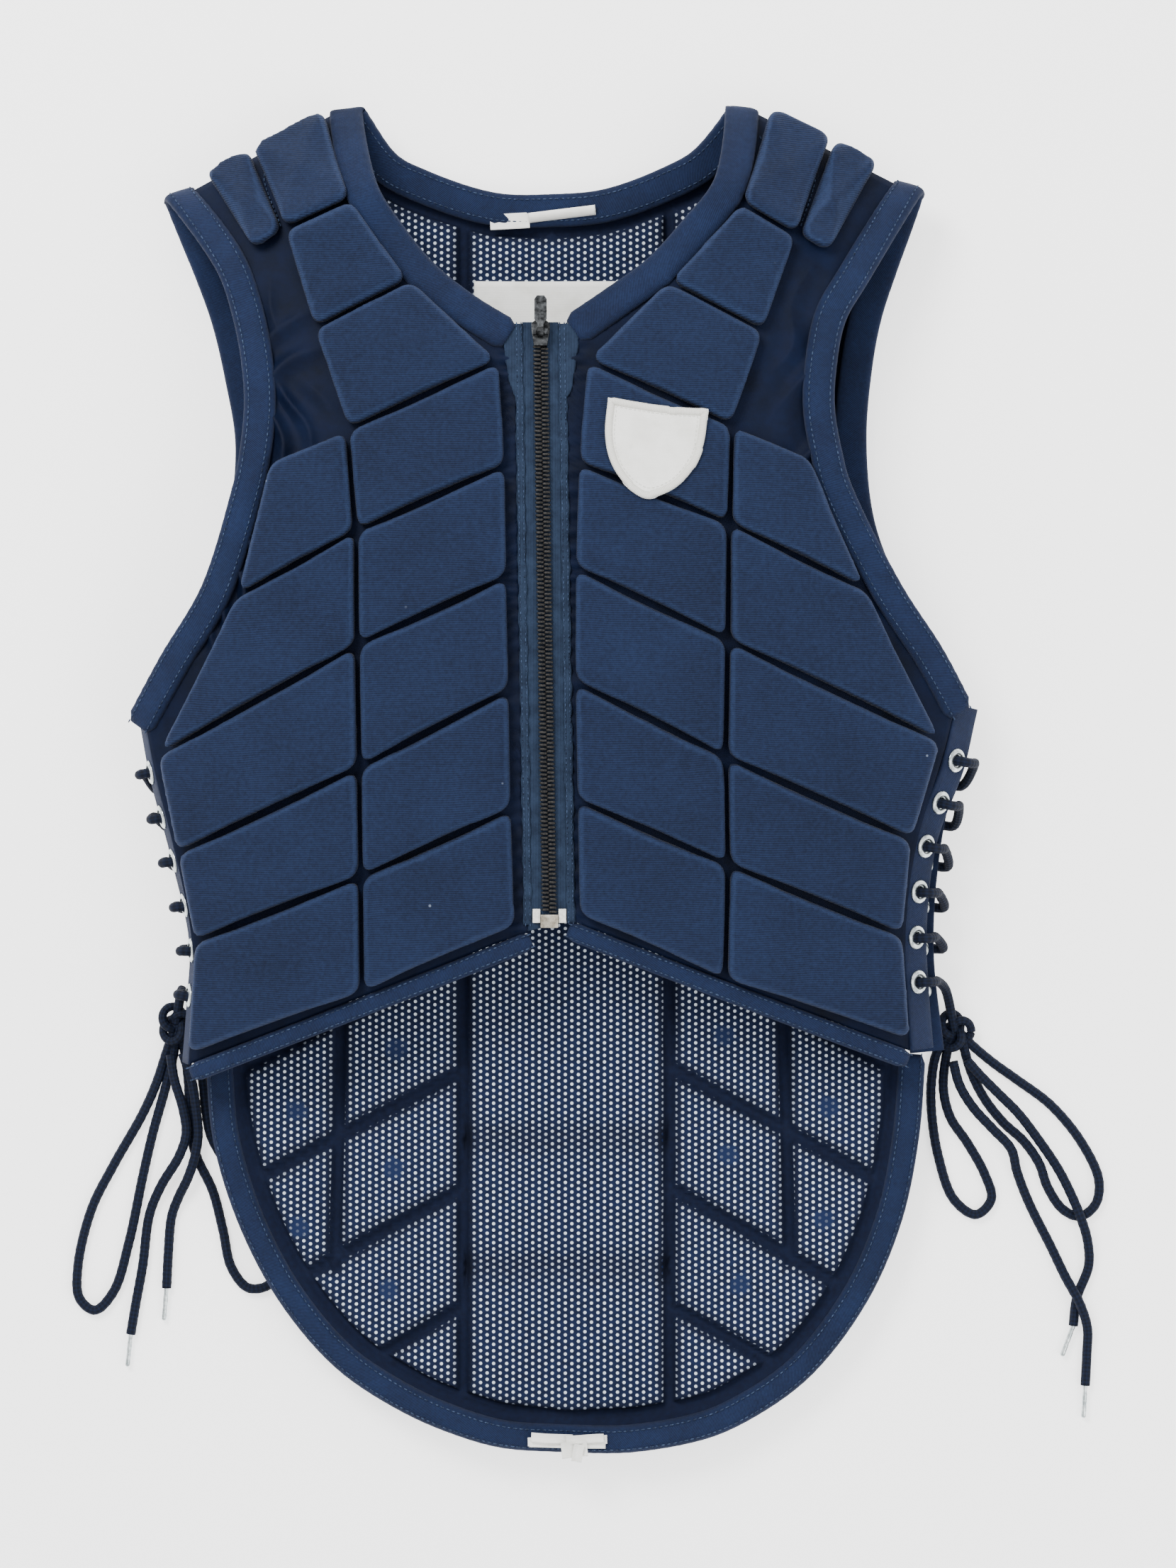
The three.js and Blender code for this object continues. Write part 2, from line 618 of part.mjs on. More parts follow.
function backPanel() {
  const quads = [...cells(backGrids.left), ...cells(backGrids.right)];
  piece("back_lining", wall(quads, -cloth, 0), "lining");
  piece("back_foam", wall(quads, -cloth - gap - backFoam, -cloth - gap), "pad");
}

// The points of one edge of a grid, with the normal of the surface there
function edgeOf(grid, column, facing = 1) {
  return grid.map((row, i) => {
    const point = row.at(column);
    const beside = row.at(column ? -2 : 1);
    const next = (grid[i + 1] ?? row).at(column);
    const last = (grid[i - 1] ?? row).at(column);
    const normal = next.clone().sub(last).cross(beside.clone().sub(point)).normalize();
    return { point, normal: normal.multiplyScalar(normal.z < 0 ? -facing : facing) };
  });
}

const turned = (grid) => grid[0].map((_, j) => grid.map((row) => row[j]));

// The path from a front edge over the shoulder fold to the back edge
function foldedPath(front, back) {
  const path = [...front];
  path[path.length - 1] = { point: front.at(-1).point, normal: v3(0, 0.8, 0.6) };
  return [...path, { point: back[0].point, normal: v3(0, 0.8, -0.6) }, ...back.slice(1)];
}

function bindings() {
  const necks = {};
  for (const side of ["left", "right"]) {
    const hand = side === "left" ? 1 : -1;
    const front = frontGrids[side];
    const back = backGrids[side];
    const neckFront = edgeOf(front, 0).slice(0, neckRow + 1).reverse();
    necks[side] = foldedPath(neckFront, edgeOf(back, 0, -1).slice(0, backNeckRow + 1));
    const armFront = edgeOf(front, -1).slice(0, cornerRow + 1).reverse();
    const arm = foldedPath(armFront, edgeOf(back, -1, -1).slice(0, backSideRows[0] + 1));
    piece(`armhole_binding_${side}`, band(arm, armBand, hand), "binding");
    piece(`hem_binding_${side}`, band(edgeOf(turned(front), -1), hemBand, hand), "binding");
  }
  const neck = [...necks.left, ...necks.right.slice(0, -1).reverse()];
  piece("neck_binding", band(neck, neckBand, -1), "binding");
  const left = edgeOf(backGrids.left, -1).slice(tailRow);
  const right = edgeOf(backGrids.right, -1).slice(tailRow).reverse();
  const end = edgeOf(turned(backGrids.left), -1)[0];
  piece("tail_binding", band([...left, end, ...right], tailBand, -1, -backHeight / 2), "binding");
}

// A point of the zip, between the two front panels: 0 is on the wearer's right edge, 1 on the left
function zipGrid(places) {
  const rows = [zipTop, ...frontRows.left.slice(zipRow).map((_, i) => i)];
  return rows.map((row) => {
    const left = row === zipTop ? v3(...at(zipTop.left), 0) : frontGrids.left[zipRow + row][0];
    const right = row === zipTop ? v3(...at(zipTop.right), 0) : frontGrids.right[zipRow + row][0];
    return places(left.x + gap, right.x - gap).map((x) => {
      const share = (x - left.x) / (right.x - left.x);
      return onFront([x, left.y + (right.y - left.y) * share]);
    });
  });
}

function zip() {
  const tape = zipGrid((left, right) => [left, (left + right) / 2, right]);
  piece("zip_tape", wall(cells(tape), -tapeHeight, 0), "tape");
  const chain = zipGrid((left, right) => {
    const middle = (left + right) / 2;
    return [middle - teethWidth / 2, middle + teethWidth / 2];
  });
  const [top, first] = [chain[0], chain[1]];
  const share = (sliderLength + 2 * gap) / top[0].distanceTo(first[0]);
  chain[0] = top.map((p, j) => p.clone().lerp(first[j], share));
  const foot = chain.at(-1)[0].clone().lerp(chain.at(-1)[1], 0.5);
  const stop = box(teethWidth + 2 * stopOverhang, stopLength, stopHeight);
  stop.translate(foot.x, foot.y + stopLength / 2, foot.z + 3 * gap + stopHeight / 2);
  const teeth = asSolid(wall(cells(chain), gap, gap + teethHeight)).add(asSolid(stop));
  piece("zip_teeth", fromSolid(teeth), "teeth");

  const head = new THREE.Group();
  const seat = top[0].clone().lerp(top[1], 0.5).lerp(first[0].clone().lerp(first[1], 0.5), share / 2);
  const normal = frontNormal(seat.x, seat.y);
  head.position.copy(seat).addScaledVector(normal, gap);
  head.rotation.x = -Math.asin(normal.y);
  vest.add(head);
  const axis = sliderHeight + bailRise;
  const postX = pullWidth / 4 + pullClearance + postWidth / 2;
  let slider = asSolid(
    plate(
      [
        [-sliderWidth / 2, 0.15 * sliderLength],
        [-0.35 * sliderWidth, -sliderLength / 2],
        [0.35 * sliderWidth, -sliderLength / 2],
        [sliderWidth / 2, 0.15 * sliderLength],
        [sliderWidth / 2, 0.38 * sliderLength],
        [0.3 * sliderWidth, sliderLength / 2],
        [-0.3 * sliderWidth, sliderLength / 2],
        [-sliderWidth / 2, 0.38 * sliderLength],
      ],
      sliderHeight,
    ),
  );
  for (const x of [-postX, postX])
    slider = slider.add(asSolid(box(postWidth, postLength, bailRise + 2, x, 0, axis - bailRise / 2)));
  slider = slider.add(asSolid(bar(bailDiameter, 2 * postX, 12, axis)));
  piece("zip_slider", fromSolid(slider), "dark_metal", head);

  const pull = new THREE.Group();
  head.add(pull);
  pull.position.z = axis;
  const eyeRadius = bailDiameter / 2 + pullClearance;
  const reach = pullLength - eyeRadius - pullThickness;
  let tab = asSolid(bar(2 * (eyeRadius + pullWall), pullWidth / 2, 16, 0));
  const tongue = plate(
    [
      [-pullWidth / 4, 0], [pullWidth / 4, 0], [pullWidth / 4, 0.2 * reach], [pullWidth / 2, 0.35 * reach],
      [pullWidth / 2, 0.9 * reach], [0.3 * pullWidth, reach], [-0.3 * pullWidth, reach],
      [-pullWidth / 2, 0.9 * reach], [-pullWidth / 2, 0.35 * reach], [-pullWidth / 4, 0.2 * reach],
    ],
    pullThickness,
  ).translate(0, 0, -pullThickness / 2);
  tab = tab.add(asSolid(tongue)).subtract(asSolid(bar(2 * eyeRadius, pullWidth, 16, 0)));
  piece("zip_pull", fromSolid(tab), "dark_metal", pull);
}

// A round bar across the zip
function bar(diameter, length, sidesRound, z) {
  const round = new THREE.CylinderGeometry(diameter / 2, diameter / 2, length, sidesRound);
  return round.rotateZ(Math.PI / 2).translate(0, 0, z);
}

// The strip beyond a laced edge: its grid runs outwards and down by an angle
function stripGrid(edge, hand, turn, lead) {
  return edge.map(({ point }, i) => {
    const next = (edge[i + 1] ?? edge[i]).point;
    const last = (edge[i - 1] ?? edge[i]).point;
    const run = next.clone().sub(last).setZ(0).normalize();
    const out = v3(run.y, -run.x, 0).multiplyScalar(hand);
    const aim = out.multiplyScalar(Math.cos(turn)).add(v3(0, 0, -Math.sin(turn)));
    return [0, 0.5, 1].map((share) => point.clone().addScaledVector(aim, lead + stripWidth * share));
  });
}

// Where the eyelets sit on a strip, with the way through each and the way to the strip's free edge
function eyeletsOf(grid, hand) {
  const middle = new THREE.CatmullRomCurve3(grid.map((row) => row[1]));
  const edge = new THREE.CatmullRomCurve3(grid.map((row) => row[2]));
  return Array.from({ length: eyeletCount }, (_, i) => {
    const share = eyeletFirst + (i * (eyeletLast - eyeletFirst)) / (eyeletCount - 1);
    const centre = middle.getPointAt(share);
    const out = edge.getPointAt(share).sub(centre).normalize();
    const through = middle.getTangentAt(share).cross(out).multiplyScalar(hand).normalize();
    return { centre: centre.addScaledVector(through, -stripThickness / 2), out, through };
  });
}

function punched(grid, eyelets, ringed) {
  let strip = asSolid(wall(cells(grid), -stripThickness, 0));
  const bore = eyeletBore / 2;
  const half = stripThickness / 2;
  for (const { centre, through } of eyelets) {
    const place = (geometry) =>
      asSolid(
        geometry
          .applyQuaternion(new THREE.Quaternion().setFromUnitVectors(v3(0, 1, 0), through))
          .translate(centre.x, centre.y, centre.z),
      );
    if (ringed) {
      const profile = [
        [bore - eyeletLip, 0], [eyeletDiameter / 2, 0], [eyeletDiameter / 2, half + gap],
        [bore - eyeletLip, half + eyeletRise], [bore - eyeletLip, 0],
      ];
      const ring = new THREE.LatheGeometry(profile.map((p) => new THREE.Vector2(...p)), 8);
      strip = strip.add(place(ring));
    }
    strip = strip.subtract(place(new THREE.CylinderGeometry(bore, bore, 4 * stripThickness, 8)));
  }
  return fromSolid(strip);
}

// The lace runs round and round through facing eyelets, down to its knot
function lacing(side, front, back) {
  const knotAt = sides[side].knot;
  const route = [];
  const step = (eyelet, through, out) => {
    const p = eyelet.centre.clone().addScaledVector(eyelet.through, through);
    route.push(p.addScaledVector(eyelet.out, out).toArray());
  };
  const clear = (cordDiameter + stripThickness) / 2 + laceClearance;
  const beyond = stripWidth / 2 + clear;
  front.forEach((eyelet, i) => {
    step(eyelet, -clear - eyeletRise, 0);
    step(eyelet, clear + eyeletRise, 0.5);
    step(eyelet, clear + eyeletRise, eyeletDiameter / 2 + 1.5);
    step(eyelet, clear / 2, beyond);
    step(back[i], -clear / 2, beyond);
    step(back[i], -clear, stripWidth / 2 - 2);
    step(back[i], -clear, 0.5);
    step(back[i], clear, 0);
  });
  route.splice(-3, 3, knotAt);
  let lace = asSolid(rope(route, cordDiameter, 6));
  const knot = new THREE.TorusKnotGeometry(knotRadius, cordDiameter / 2, 24, 5, 2, 3);
  const core = new THREE.SphereGeometry(1.15 * knotRadius, 8, 6);
  for (const geometry of [knot, core])
    lace = lace.add(asSolid(geometry.scale(1, 1.1, 0.75).translate(...knotAt)));
  for (const loop of loops[side]) lace = lace.add(asSolid(tube(loop, cordDiameter, 6, loopStep)));
  // Where cords cross in the knot, a crumb can come loose: the largest body is the lace
  const [whole] = lace.decompose().sort((a, b) => b.volume() - a.volume());
  piece(`lacing_${side}`, fromSolid(whole), "cord");
}

function laces() {
  for (const side of ["left", "right"]) {
    const hand = side === "left" ? -1 : 1;
    const { turn, lead } = sides[side];
    const frontEdge = edgeOf(frontGrids[side], -1).slice(cornerRow);
    const backEdge = edgeOf(backGrids[side], -1).slice(...backSideRows);
    const frontStrip = stripGrid(frontEdge, -hand, THREE.MathUtils.degToRad(turn), lead);
    const backStrip = stripGrid(backEdge, -hand, 0, backLead);
    const front = eyeletsOf(frontStrip, hand);
    const back = eyeletsOf(backStrip, hand);
    piece(`front_eyelet_strip_${side}`, punched(frontStrip, front, true), "cloth");
    piece(`back_eyelet_strip_${side}`, punched(backStrip, back, false), "cloth");
    lacing(side, front, back);
    tails[side].forEach((route, i) => {
      piece(`lace_end_${i + 1}_${side}`, tube(route, cordDiameter), "cord");
      const aim = v3(...agletAims[side][i], 0).normalize();
      const aglet = new THREE.CylinderGeometry(agletDiameter / 2, agletDiameter / 2, agletLength, 10);
      aglet.applyQuaternion(new THREE.Quaternion().setFromUnitVectors(v3(0, 1, 0), aim));
      const middle = v3(...route.at(-1)).addScaledVector(aim, agletLength / 2 + 2 * gap);
      piece(`aglet_${i + 1}_${side}`, aglet.translate(middle.x, middle.y, middle.z), "pale_metal");
    });
  }
}

// A crest with a straight top and a round point, stitched onto the pads
function badge() {
  const [x, y] = at(badgeAt);
  const half = badgeWidth / 2;
  const outline = [
    [-half, 0.47], [0, 0.44], [half, 0.47], [0.98 * half, 0.1], [0.82 * half, -0.18],
    [0.5 * half, -0.4], [0, -0.53], [-0.5 * half, -0.4], [-0.82 * half, -0.18], [-0.98 * half, 0.1],
  ].map(([dx, share]) => [x + dx, y + share * badgeHeight]);
  const rise = padSeat.chest + padHeight + gap;
  const ring = (size, height) =>
    outline.map(([px, py]) => onFront([x + (px - x) * size, y + (py - y) * size], rise + height));
  const rings = [ring(0.5, 0), ring(1, 0), ring(1, badgeThickness), ring(0.5, badgeThickness)];
  const middle = onFront([x, y], rise);
  piece("badge", skin(middle, rings, onFront([x, y], rise + badgeThickness)), "label");
}

function labels() {
  const [x, y] = at(liningLabelAt);
  const { width, height, thickness } = liningLabel;
  piece("lining_label", box(width, height, thickness, x, y, backHeight + gap + thickness / 2), "label");
  const [sizeX, sizeY] = at(sizeLabelAt);
  const face = box(sizeLabel.width, sizeLabel.height, sizeLabel.thickness, -sizeLabel.width / 2, 0, 0);
  const folded = box(foldedLabel.width, sizeLabel.thickness, foldedLabel.height);
  folded.translate(foldedLabel.width / 2 - sizeLabel.thickness, sizeLabel.height / 4, foldedLabel.raise);
  const neckLabel = asSolid(face).add(asSolid(folded));
  const mesh = piece("size_label", fromSolid(neckLabel), "label");
  mesh.position.set(sizeX, sizeY, backHeight + 3 * gap + sizeLabel.thickness);
  const [careX, careY] = at(careLabelAt);
  const leaves = asSolid(box(careLabel.width, careLabel.height, careLabel.thickness));
  const tag = box(careLabel.width / 2, 1.6 * careLabel.height, careLabel.thickness / 2, 2, -careLabel.height / 2, 0);
  const care = piece("care_label", fromSolid(leaves.add(asSolid(tag))), "label");
  const bindingTop = backHeight + edgeLift + bandHeight / 2;
  care.position.set(careX, careY, bindingTop + gap + careLabel.thickness / 2);
}

frontPanels();
backPanel();
bindings();
zip();
laces();
badge();
labels();

export default vest;
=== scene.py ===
# %% [markdown]
# # A riding body protector
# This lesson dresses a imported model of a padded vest. The vest lies on its back on a white floor, zip closed and
# both sides laced. Every piece of cloth, foam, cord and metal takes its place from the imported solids.

# %% Load the frame
import math

import bmesh
import bpy
import numpy as np
from mathutils import Matrix, Vector, noise
from mathutils.bvhtree import BVHTree
from mathutils.kdtree import KDTree


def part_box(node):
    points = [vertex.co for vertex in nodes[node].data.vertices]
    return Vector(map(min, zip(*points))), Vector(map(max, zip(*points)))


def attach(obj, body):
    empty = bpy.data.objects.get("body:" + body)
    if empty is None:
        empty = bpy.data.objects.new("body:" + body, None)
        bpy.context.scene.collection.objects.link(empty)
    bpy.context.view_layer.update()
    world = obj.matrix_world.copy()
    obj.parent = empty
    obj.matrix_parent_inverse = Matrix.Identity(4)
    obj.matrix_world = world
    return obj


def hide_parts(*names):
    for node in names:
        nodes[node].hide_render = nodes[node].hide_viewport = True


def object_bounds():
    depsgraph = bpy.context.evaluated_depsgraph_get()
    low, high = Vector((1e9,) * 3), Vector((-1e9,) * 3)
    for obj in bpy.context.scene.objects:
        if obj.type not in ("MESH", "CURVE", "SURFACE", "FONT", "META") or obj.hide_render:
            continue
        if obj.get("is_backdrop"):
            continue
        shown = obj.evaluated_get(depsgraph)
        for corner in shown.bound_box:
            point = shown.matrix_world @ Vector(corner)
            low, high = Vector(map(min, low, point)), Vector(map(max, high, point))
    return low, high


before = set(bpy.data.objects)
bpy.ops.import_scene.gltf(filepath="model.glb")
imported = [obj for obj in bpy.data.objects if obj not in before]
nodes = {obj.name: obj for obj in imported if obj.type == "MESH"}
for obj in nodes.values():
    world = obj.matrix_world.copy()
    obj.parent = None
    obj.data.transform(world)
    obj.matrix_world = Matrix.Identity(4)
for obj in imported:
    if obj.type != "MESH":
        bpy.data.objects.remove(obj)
cad_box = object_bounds()
print(len(nodes), "solids in a box of", [round(x, 3) for x in cad_box[1] - cad_box[0]], "m")

# %% [markdown]
# Everything is measured in metres, but cloth and cord are easier to think of in millimetres. One value turns one
# into the other. The photograph's frame is 1659 by 2212 pixels, and places that were read from it go through px().

# %% Units and places
MM = 0.001
PIXEL = 0.408 * MM
MIDDLE_PIXEL = (778.5, 1104)
SIDES = {"left": -1, "right": 1}


def px(x, y):
    """A place on the photograph as x and y on the floor."""
    return (x - MIDDLE_PIXEL[0]) * PIXEL, (MIDDLE_PIXEL[1] - y) * PIXEL


# %% [markdown]
# The camera looks straight down from above, as in a catalogue picture of clothes. A long lens keeps the sides of
# the vest from leaning. The frame's height on the vest sets the lens.

# %% Camera
FRAME_MIDDLE = px(829.5, 1106)
FRAME_HEIGHT = 2212 * PIXEL
CAMERA_DISTANCE = 2.4
VEST_LEVEL = 0.045

camera_data = bpy.data.cameras.new("camera")
camera = bpy.data.objects.new("camera", camera_data)
bpy.context.scene.collection.objects.link(camera)
camera.location = (*FRAME_MIDDLE, VEST_LEVEL + CAMERA_DISTANCE)
camera_data.sensor_fit = "VERTICAL"
camera_data.sensor_height = 36
camera_data.lens = camera_data.sensor_height * CAMERA_DISTANCE / FRAME_HEIGHT
bpy.context.scene.camera = camera
print("lens", round(camera_data.lens, 1), "mm")

# %% [markdown]
# ## Shader maths as Python
# A material in Blender is a graph of nodes. Wrapping a socket in a small class lets an expression such as
# `1 - mask * 0.5` add the Math nodes by itself, so each finish below reads like a formula.

# %% Shader helpers
class Number:
    """A number inside a material that Python operators work on."""

    def __init__(self, paint, socket):
        self.paint = paint
        self.socket = socket

    def maths(self, operation, *others):
        values = dict(enumerate([self, *others]))
        return self.paint.node("ShaderNodeMath", {"operation": operation}, values)

    def __add__(self, other):
        return self.maths("ADD", other)

    def __mul__(self, other):
        return self.maths("MULTIPLY", other)

    def __sub__(self, other):
        return self.maths("SUBTRACT", other)

    def __rsub__(self, other):
        return (self * -1) + other

    def __truediv__(self, other):
        return self.maths("DIVIDE", other)

    def __pow__(self, other):
        return self.maths("POWER", other)

    __radd__ = __add__
    __rmul__ = __mul__

    def step(self, low, high):
        """0 below low, 1 above high, and smooth between."""
        settings = {"interpolation_type": "SMOOTHSTEP"}
        values = {"Value": self, "From Min": low, "From Max": high}
        return self.paint.node("ShaderNodeMapRange", settings, values)


MATT = 0.16


class Paint:
    """A material with one glossy shader, and a method that adds any other node."""

    def __init__(self, name, roughness=0.8, metallic=0.0, **fixed):
        self.material = bpy.data.materials.new(name)
        self.material.use_nodes = True
        self.tree = self.material.node_tree
        self.shader = self.tree.nodes["Principled BSDF"]
        self.shader.inputs["Roughness"].default_value = roughness
        self.shader.inputs["Metallic"].default_value = metallic
        self.shader.inputs["Specular IOR Level"].default_value = 0.5 if metallic else MATT
        for socket, value in fixed.items():
            self.shader.inputs[socket.replace("_", " ")].default_value = value

    def join(self, value, socket):
        if isinstance(value, Number):
            self.tree.links.new(value.socket, socket)
        elif value is not None:
            socket.default_value = value

    def node(self, kind, settings=None, values=None, output=0):
        made = self.tree.nodes.new(kind)
        for name, value in (settings or {}).items():
            setattr(made, name, value)
        for key, value in (values or {}).items():
            self.join(value, made.inputs[key])
        return Number(self, made.outputs[output])

    def place(self, scale=(1, 1, 1), turn=0.0):
        """The object's own coordinates, scaled and turned in the plane."""
        source = self.node("ShaderNodeTexCoord", output="Object")
        values = {"Vector": source, "Scale": scale, "Rotation": (0, 0, turn)}
        return self.node("ShaderNodeMapping", None, values)

    def along(self, scale=(1, 1, 1)):
        """The piece's own length and girth, from its UV map in metres."""
        source = self.node("ShaderNodeUVMap", {"uv_map": "Length"})
        return self.node("ShaderNodeMapping", None, {"Vector": source, "Scale": scale})

    def parts(self, vector):
        split = self.tree.nodes.new("ShaderNodeSeparateXYZ")
        self.tree.links.new(vector.socket, split.inputs[0])
        return [Number(self, output) for output in split.outputs]

    def noise(self, vector, scale, detail=2.0, roughness=0.5):
        values = {"Vector": vector, "Scale": scale, "Detail": detail, "Roughness": roughness}
        return self.node("ShaderNodeTexNoise", None, values)

    def mix(self, factor, one, other):
        """A colour between two."""
        made = self.tree.nodes.new("ShaderNodeMix")
        made.data_type = "RGBA"
        factor_socket, one_socket, other_socket = made.inputs[0], made.inputs[6], made.inputs[7]
        for value, socket in ((factor, factor_socket), (one, one_socket), (other, other_socket)):
            if isinstance(value, tuple):
                value = (*value, 1.0)
            self.join(value, socket)
        return Number(self, made.outputs[2])

    def attribute(self, name):
        return self.node("ShaderNodeAttribute", {"attribute_name": name}, output="Fac")

    def colour(self, value):
        if isinstance(value, tuple):
            value = (*value, 1.0)
        self.join(value, self.shader.inputs["Base Color"])

    def rough(self, value):
        self.join(value, self.shader.inputs["Roughness"])

    def bump(self, height, distance, strength=1.0):
        values = {"Height": height, "Distance": distance, "Strength": strength}
        self.join(self.node("ShaderNodeBump", None, values), self.shader.inputs["Normal"])


def srgb(red, green, blue):
    """A colour as it is seen on a screen, from 0 to 255, in the numbers that a shader takes."""
    def linear(value):
        share = value / 255
        return share / 12.92 if share <= 0.04045 else ((share + 0.055) / 1.055) ** 2.4

    return linear(red), linear(green), linear(blue)


# %% [markdown]
# ## Finishes
# The foam blocks wear a knit with fine ribs that run across the body. Ribs are a sine along Y, bent a little by
# noise, and they show in the bump and the colour. Lint and light dust are rare bright cells of a Voronoi pattern.
# Along the blocks' upper edges a paler colour is painted on as a highlight.

# %% Ribbed knit of the foam blocks
RIB = 1.25 * MM
KNIT_DARK = srgb(9, 16, 33)
KNIT_LIGHT = srgb(26, 39, 68)
KNIT_HIGHLIGHT = srgb(36, 50, 80)
LINT = srgb(110, 120, 138)


def knit_finish():
    paint = Paint("ribbed_knit", roughness=0.86, Sheen_Weight=0.04, Sheen_Roughness=0.4)
    place = paint.place()
    drift = paint.noise(place, 14, 2) * 0.006
    y = paint.parts(place)[1]
    ribs = ((y + drift) * (2 * math.pi / RIB)).maths("SINE") * 0.5 + 0.5
    mottle = paint.noise(place, 420, 3, 0.7)
    cloud = paint.noise(place, 16, 3, 0.6)
    settings = {"feature": "F1"}
    specks = paint.node("ShaderNodeTexVoronoi", settings, {"Vector": place, "Scale": 60.0})
    rare = paint.noise(place, 23, 1).step(0.6, 0.66)
    lint = (1 - specks.step(0.03, 0.06)) * rare
    shade = (ribs * 0.3 + mottle * 0.7 + cloud * 0.4 - 0.2).step(0.05, 1.0)
    cloth = paint.mix(shade, KNIT_DARK, KNIT_LIGHT)
    # Painted highlight: the rim attribute lightens the knit along each block's upper edge, broken up by the mottle.
    edge = paint.attribute("rim") * (mottle * 0.9 + 0.1)
    paint.colour(paint.mix(lint * 0.7, paint.mix(edge, cloth, KNIT_HIGHLIGHT), LINT))
    paint.bump(ribs * 0.6 + mottle * 0.8, 0.35 * MM, 0.9)
    return paint.material


KNIT = knit_finish()

# %% [markdown]
# Between the blocks lies a thinner, darker cloth with a slight shine. It is woven, so two fine waves cross, and
# creases catch the light.

# %% Dark woven cloth
CLOTH_DARK = srgb(4, 8, 20)
CLOTH_LIGHT = srgb(16, 28, 58)
THREAD = 0.6 * MM


def cloth_finish():
    paint = Paint("woven_cloth", roughness=0.6, Specular_IOR_Level=0.07)
    place = paint.place()
    x, y, _ = paint.parts(place)
    warp = (x * (2 * math.pi / THREAD)).maths("SINE")
    weft = (y * (2 * math.pi / THREAD)).maths("SINE")
    weave = warp * weft * 0.5 + 0.5
    cloud = paint.noise(place, 40, 4, 0.65)
    paint.colour(paint.mix((cloud * 1.2 - 0.25) * (weave * 0.3 + 0.7), CLOTH_DARK, CLOTH_LIGHT))
    paint.rough(cloud * 0.25 + 0.4)
    paint.bump(weave * 0.2 + cloud * 0.8, 0.5 * MM, 0.7)
    return paint.material


CLOTH = cloth_finish()

# %% [markdown]
# The bindings are twill tape. A twill's ribs climb at an angle, so the pattern reads the band's own UV map: u runs
# along the band and v round it, both in metres. Noise varies the tape's tone in patches.

# %% Twill tape
TWILL_DARK = srgb(8, 15, 33)
TWILL_LIGHT = srgb(27, 42, 76)
TWILL = 1.1 * MM


def twill_finish():
    paint = Paint("twill_tape", roughness=0.82, Sheen_Weight=0.03, Sheen_Roughness=0.4)
    u, v, _ = paint.parts(paint.along())
    ribs = ((u + v * 1.3) * (2 * math.pi / TWILL)).maths("SINE") * 0.5 + 0.5
    place = paint.place()
    wear = paint.noise(place, 35, 4, 0.7)
    fibre = paint.noise(place, 600, 2)
    shade = ribs * 0.35 + wear * 0.5 + fibre * 0.35 - 0.15
    paint.colour(paint.mix(shade.step(0.05, 1.0), TWILL_DARK, TWILL_LIGHT))
    paint.bump(ribs * 0.7 + fibre * 0.3, 0.25 * MM, 0.8)
    return paint.material


TWILL_TAPE = twill_finish()

# %% [markdown]
# The lining is a knitted mesh: rows of round holes, each second column half a step lower, over a white layer. The
# distance to the nearest hole comes from two overlapping square grids. A vertex attribute says where the cloth is
# sewn down, because there the holes close. Another one darkens the cloth and the white near the seams and in the
# valleys across the spine: painted shade.

# %% Mesh lining
HOLE_STEP_X = 3.8 * MM
HOLE_STEP_Y = 3.7 * MM
HOLE_RADIUS = 0.97 * MM
MESH_DARK = srgb(6, 11, 27)
MESH_LIGHT = srgb(19, 31, 62)
UNDERLAYER = srgb(200, 210, 222)


def mesh_finish():
    paint = Paint("mesh_lining", roughness=0.88)
    place = paint.place()
    x, y, _ = paint.parts(place)

    def nearest(shift):
        across = ((x / (2 * HOLE_STEP_X) + shift).maths("FRACT") - 0.5) * (2 * HOLE_STEP_X)
        down = ((y / HOLE_STEP_Y + shift).maths("FRACT") - 0.5) * HOLE_STEP_Y
        return (across * across + down * down).maths("SQRT")

    distance = nearest(100.0).maths("MINIMUM", nearest(100.5))
    raised = paint.attribute("raised")
    vent = paint.attribute("vent")
    hole = (1 - distance.step(HOLE_RADIUS * 0.75, HOLE_RADIUS * 1.15)) * raised.step(0.6, 0.85)
    white = hole * (1 - vent * 0.92)
    cloud = paint.noise(place, 300, 2)
    # Painted shade: this attribute darkens the cloth and the white under the holes near the seams and in the valleys.
    painted_shade = paint.attribute("painted_shade")
    cloth = paint.mix(cloud * (1.1 - painted_shade) + vent * 0.6, MESH_DARK, MESH_LIGHT)
    shaded = paint.mix(painted_shade, UNDERLAYER, MESH_LIGHT)
    paint.colour(paint.mix(white, cloth, shaded))
    paint.bump((1 - hole) + cloud * 0.2, 0.4 * MM, 0.6)
    return paint.material


MESH = mesh_finish()

# %% [markdown]
# Cords are braided. On the UV map two slanted waves cross each other and leave small lozenges.

# %% Braided cord
BRAID_LENGTH = 5.0 * MM
BRAID_ROUND = 4
CORD_DARK = srgb(3, 6, 14)
CORD_LIGHT = srgb(17, 27, 51)


def braid_finish():
    paint = Paint("braided_cord", roughness=0.78)
    u, v, _ = paint.parts(paint.along((2 * math.pi / BRAID_LENGTH, 2 * math.pi * BRAID_ROUND, 1)))
    one = (u + v).maths("SINE")
    other = (u - v).maths("SINE")
    lozenge = one * other * 0.5 + 0.5
    fibre = paint.noise(paint.place(), 900, 2)
    paint.colour(paint.mix(lozenge * 0.6 + fibre * 0.35 - 0.1, CORD_DARK, CORD_LIGHT))
    paint.bump(lozenge + fibre * 0.3, 0.4 * MM, 0.8)
    return paint.material


BRAID = braid_finish()

# %% [markdown]
# Small things next: the zip's tape, its teeth, painted and bare metal, thread, and the white cloth of the labels.

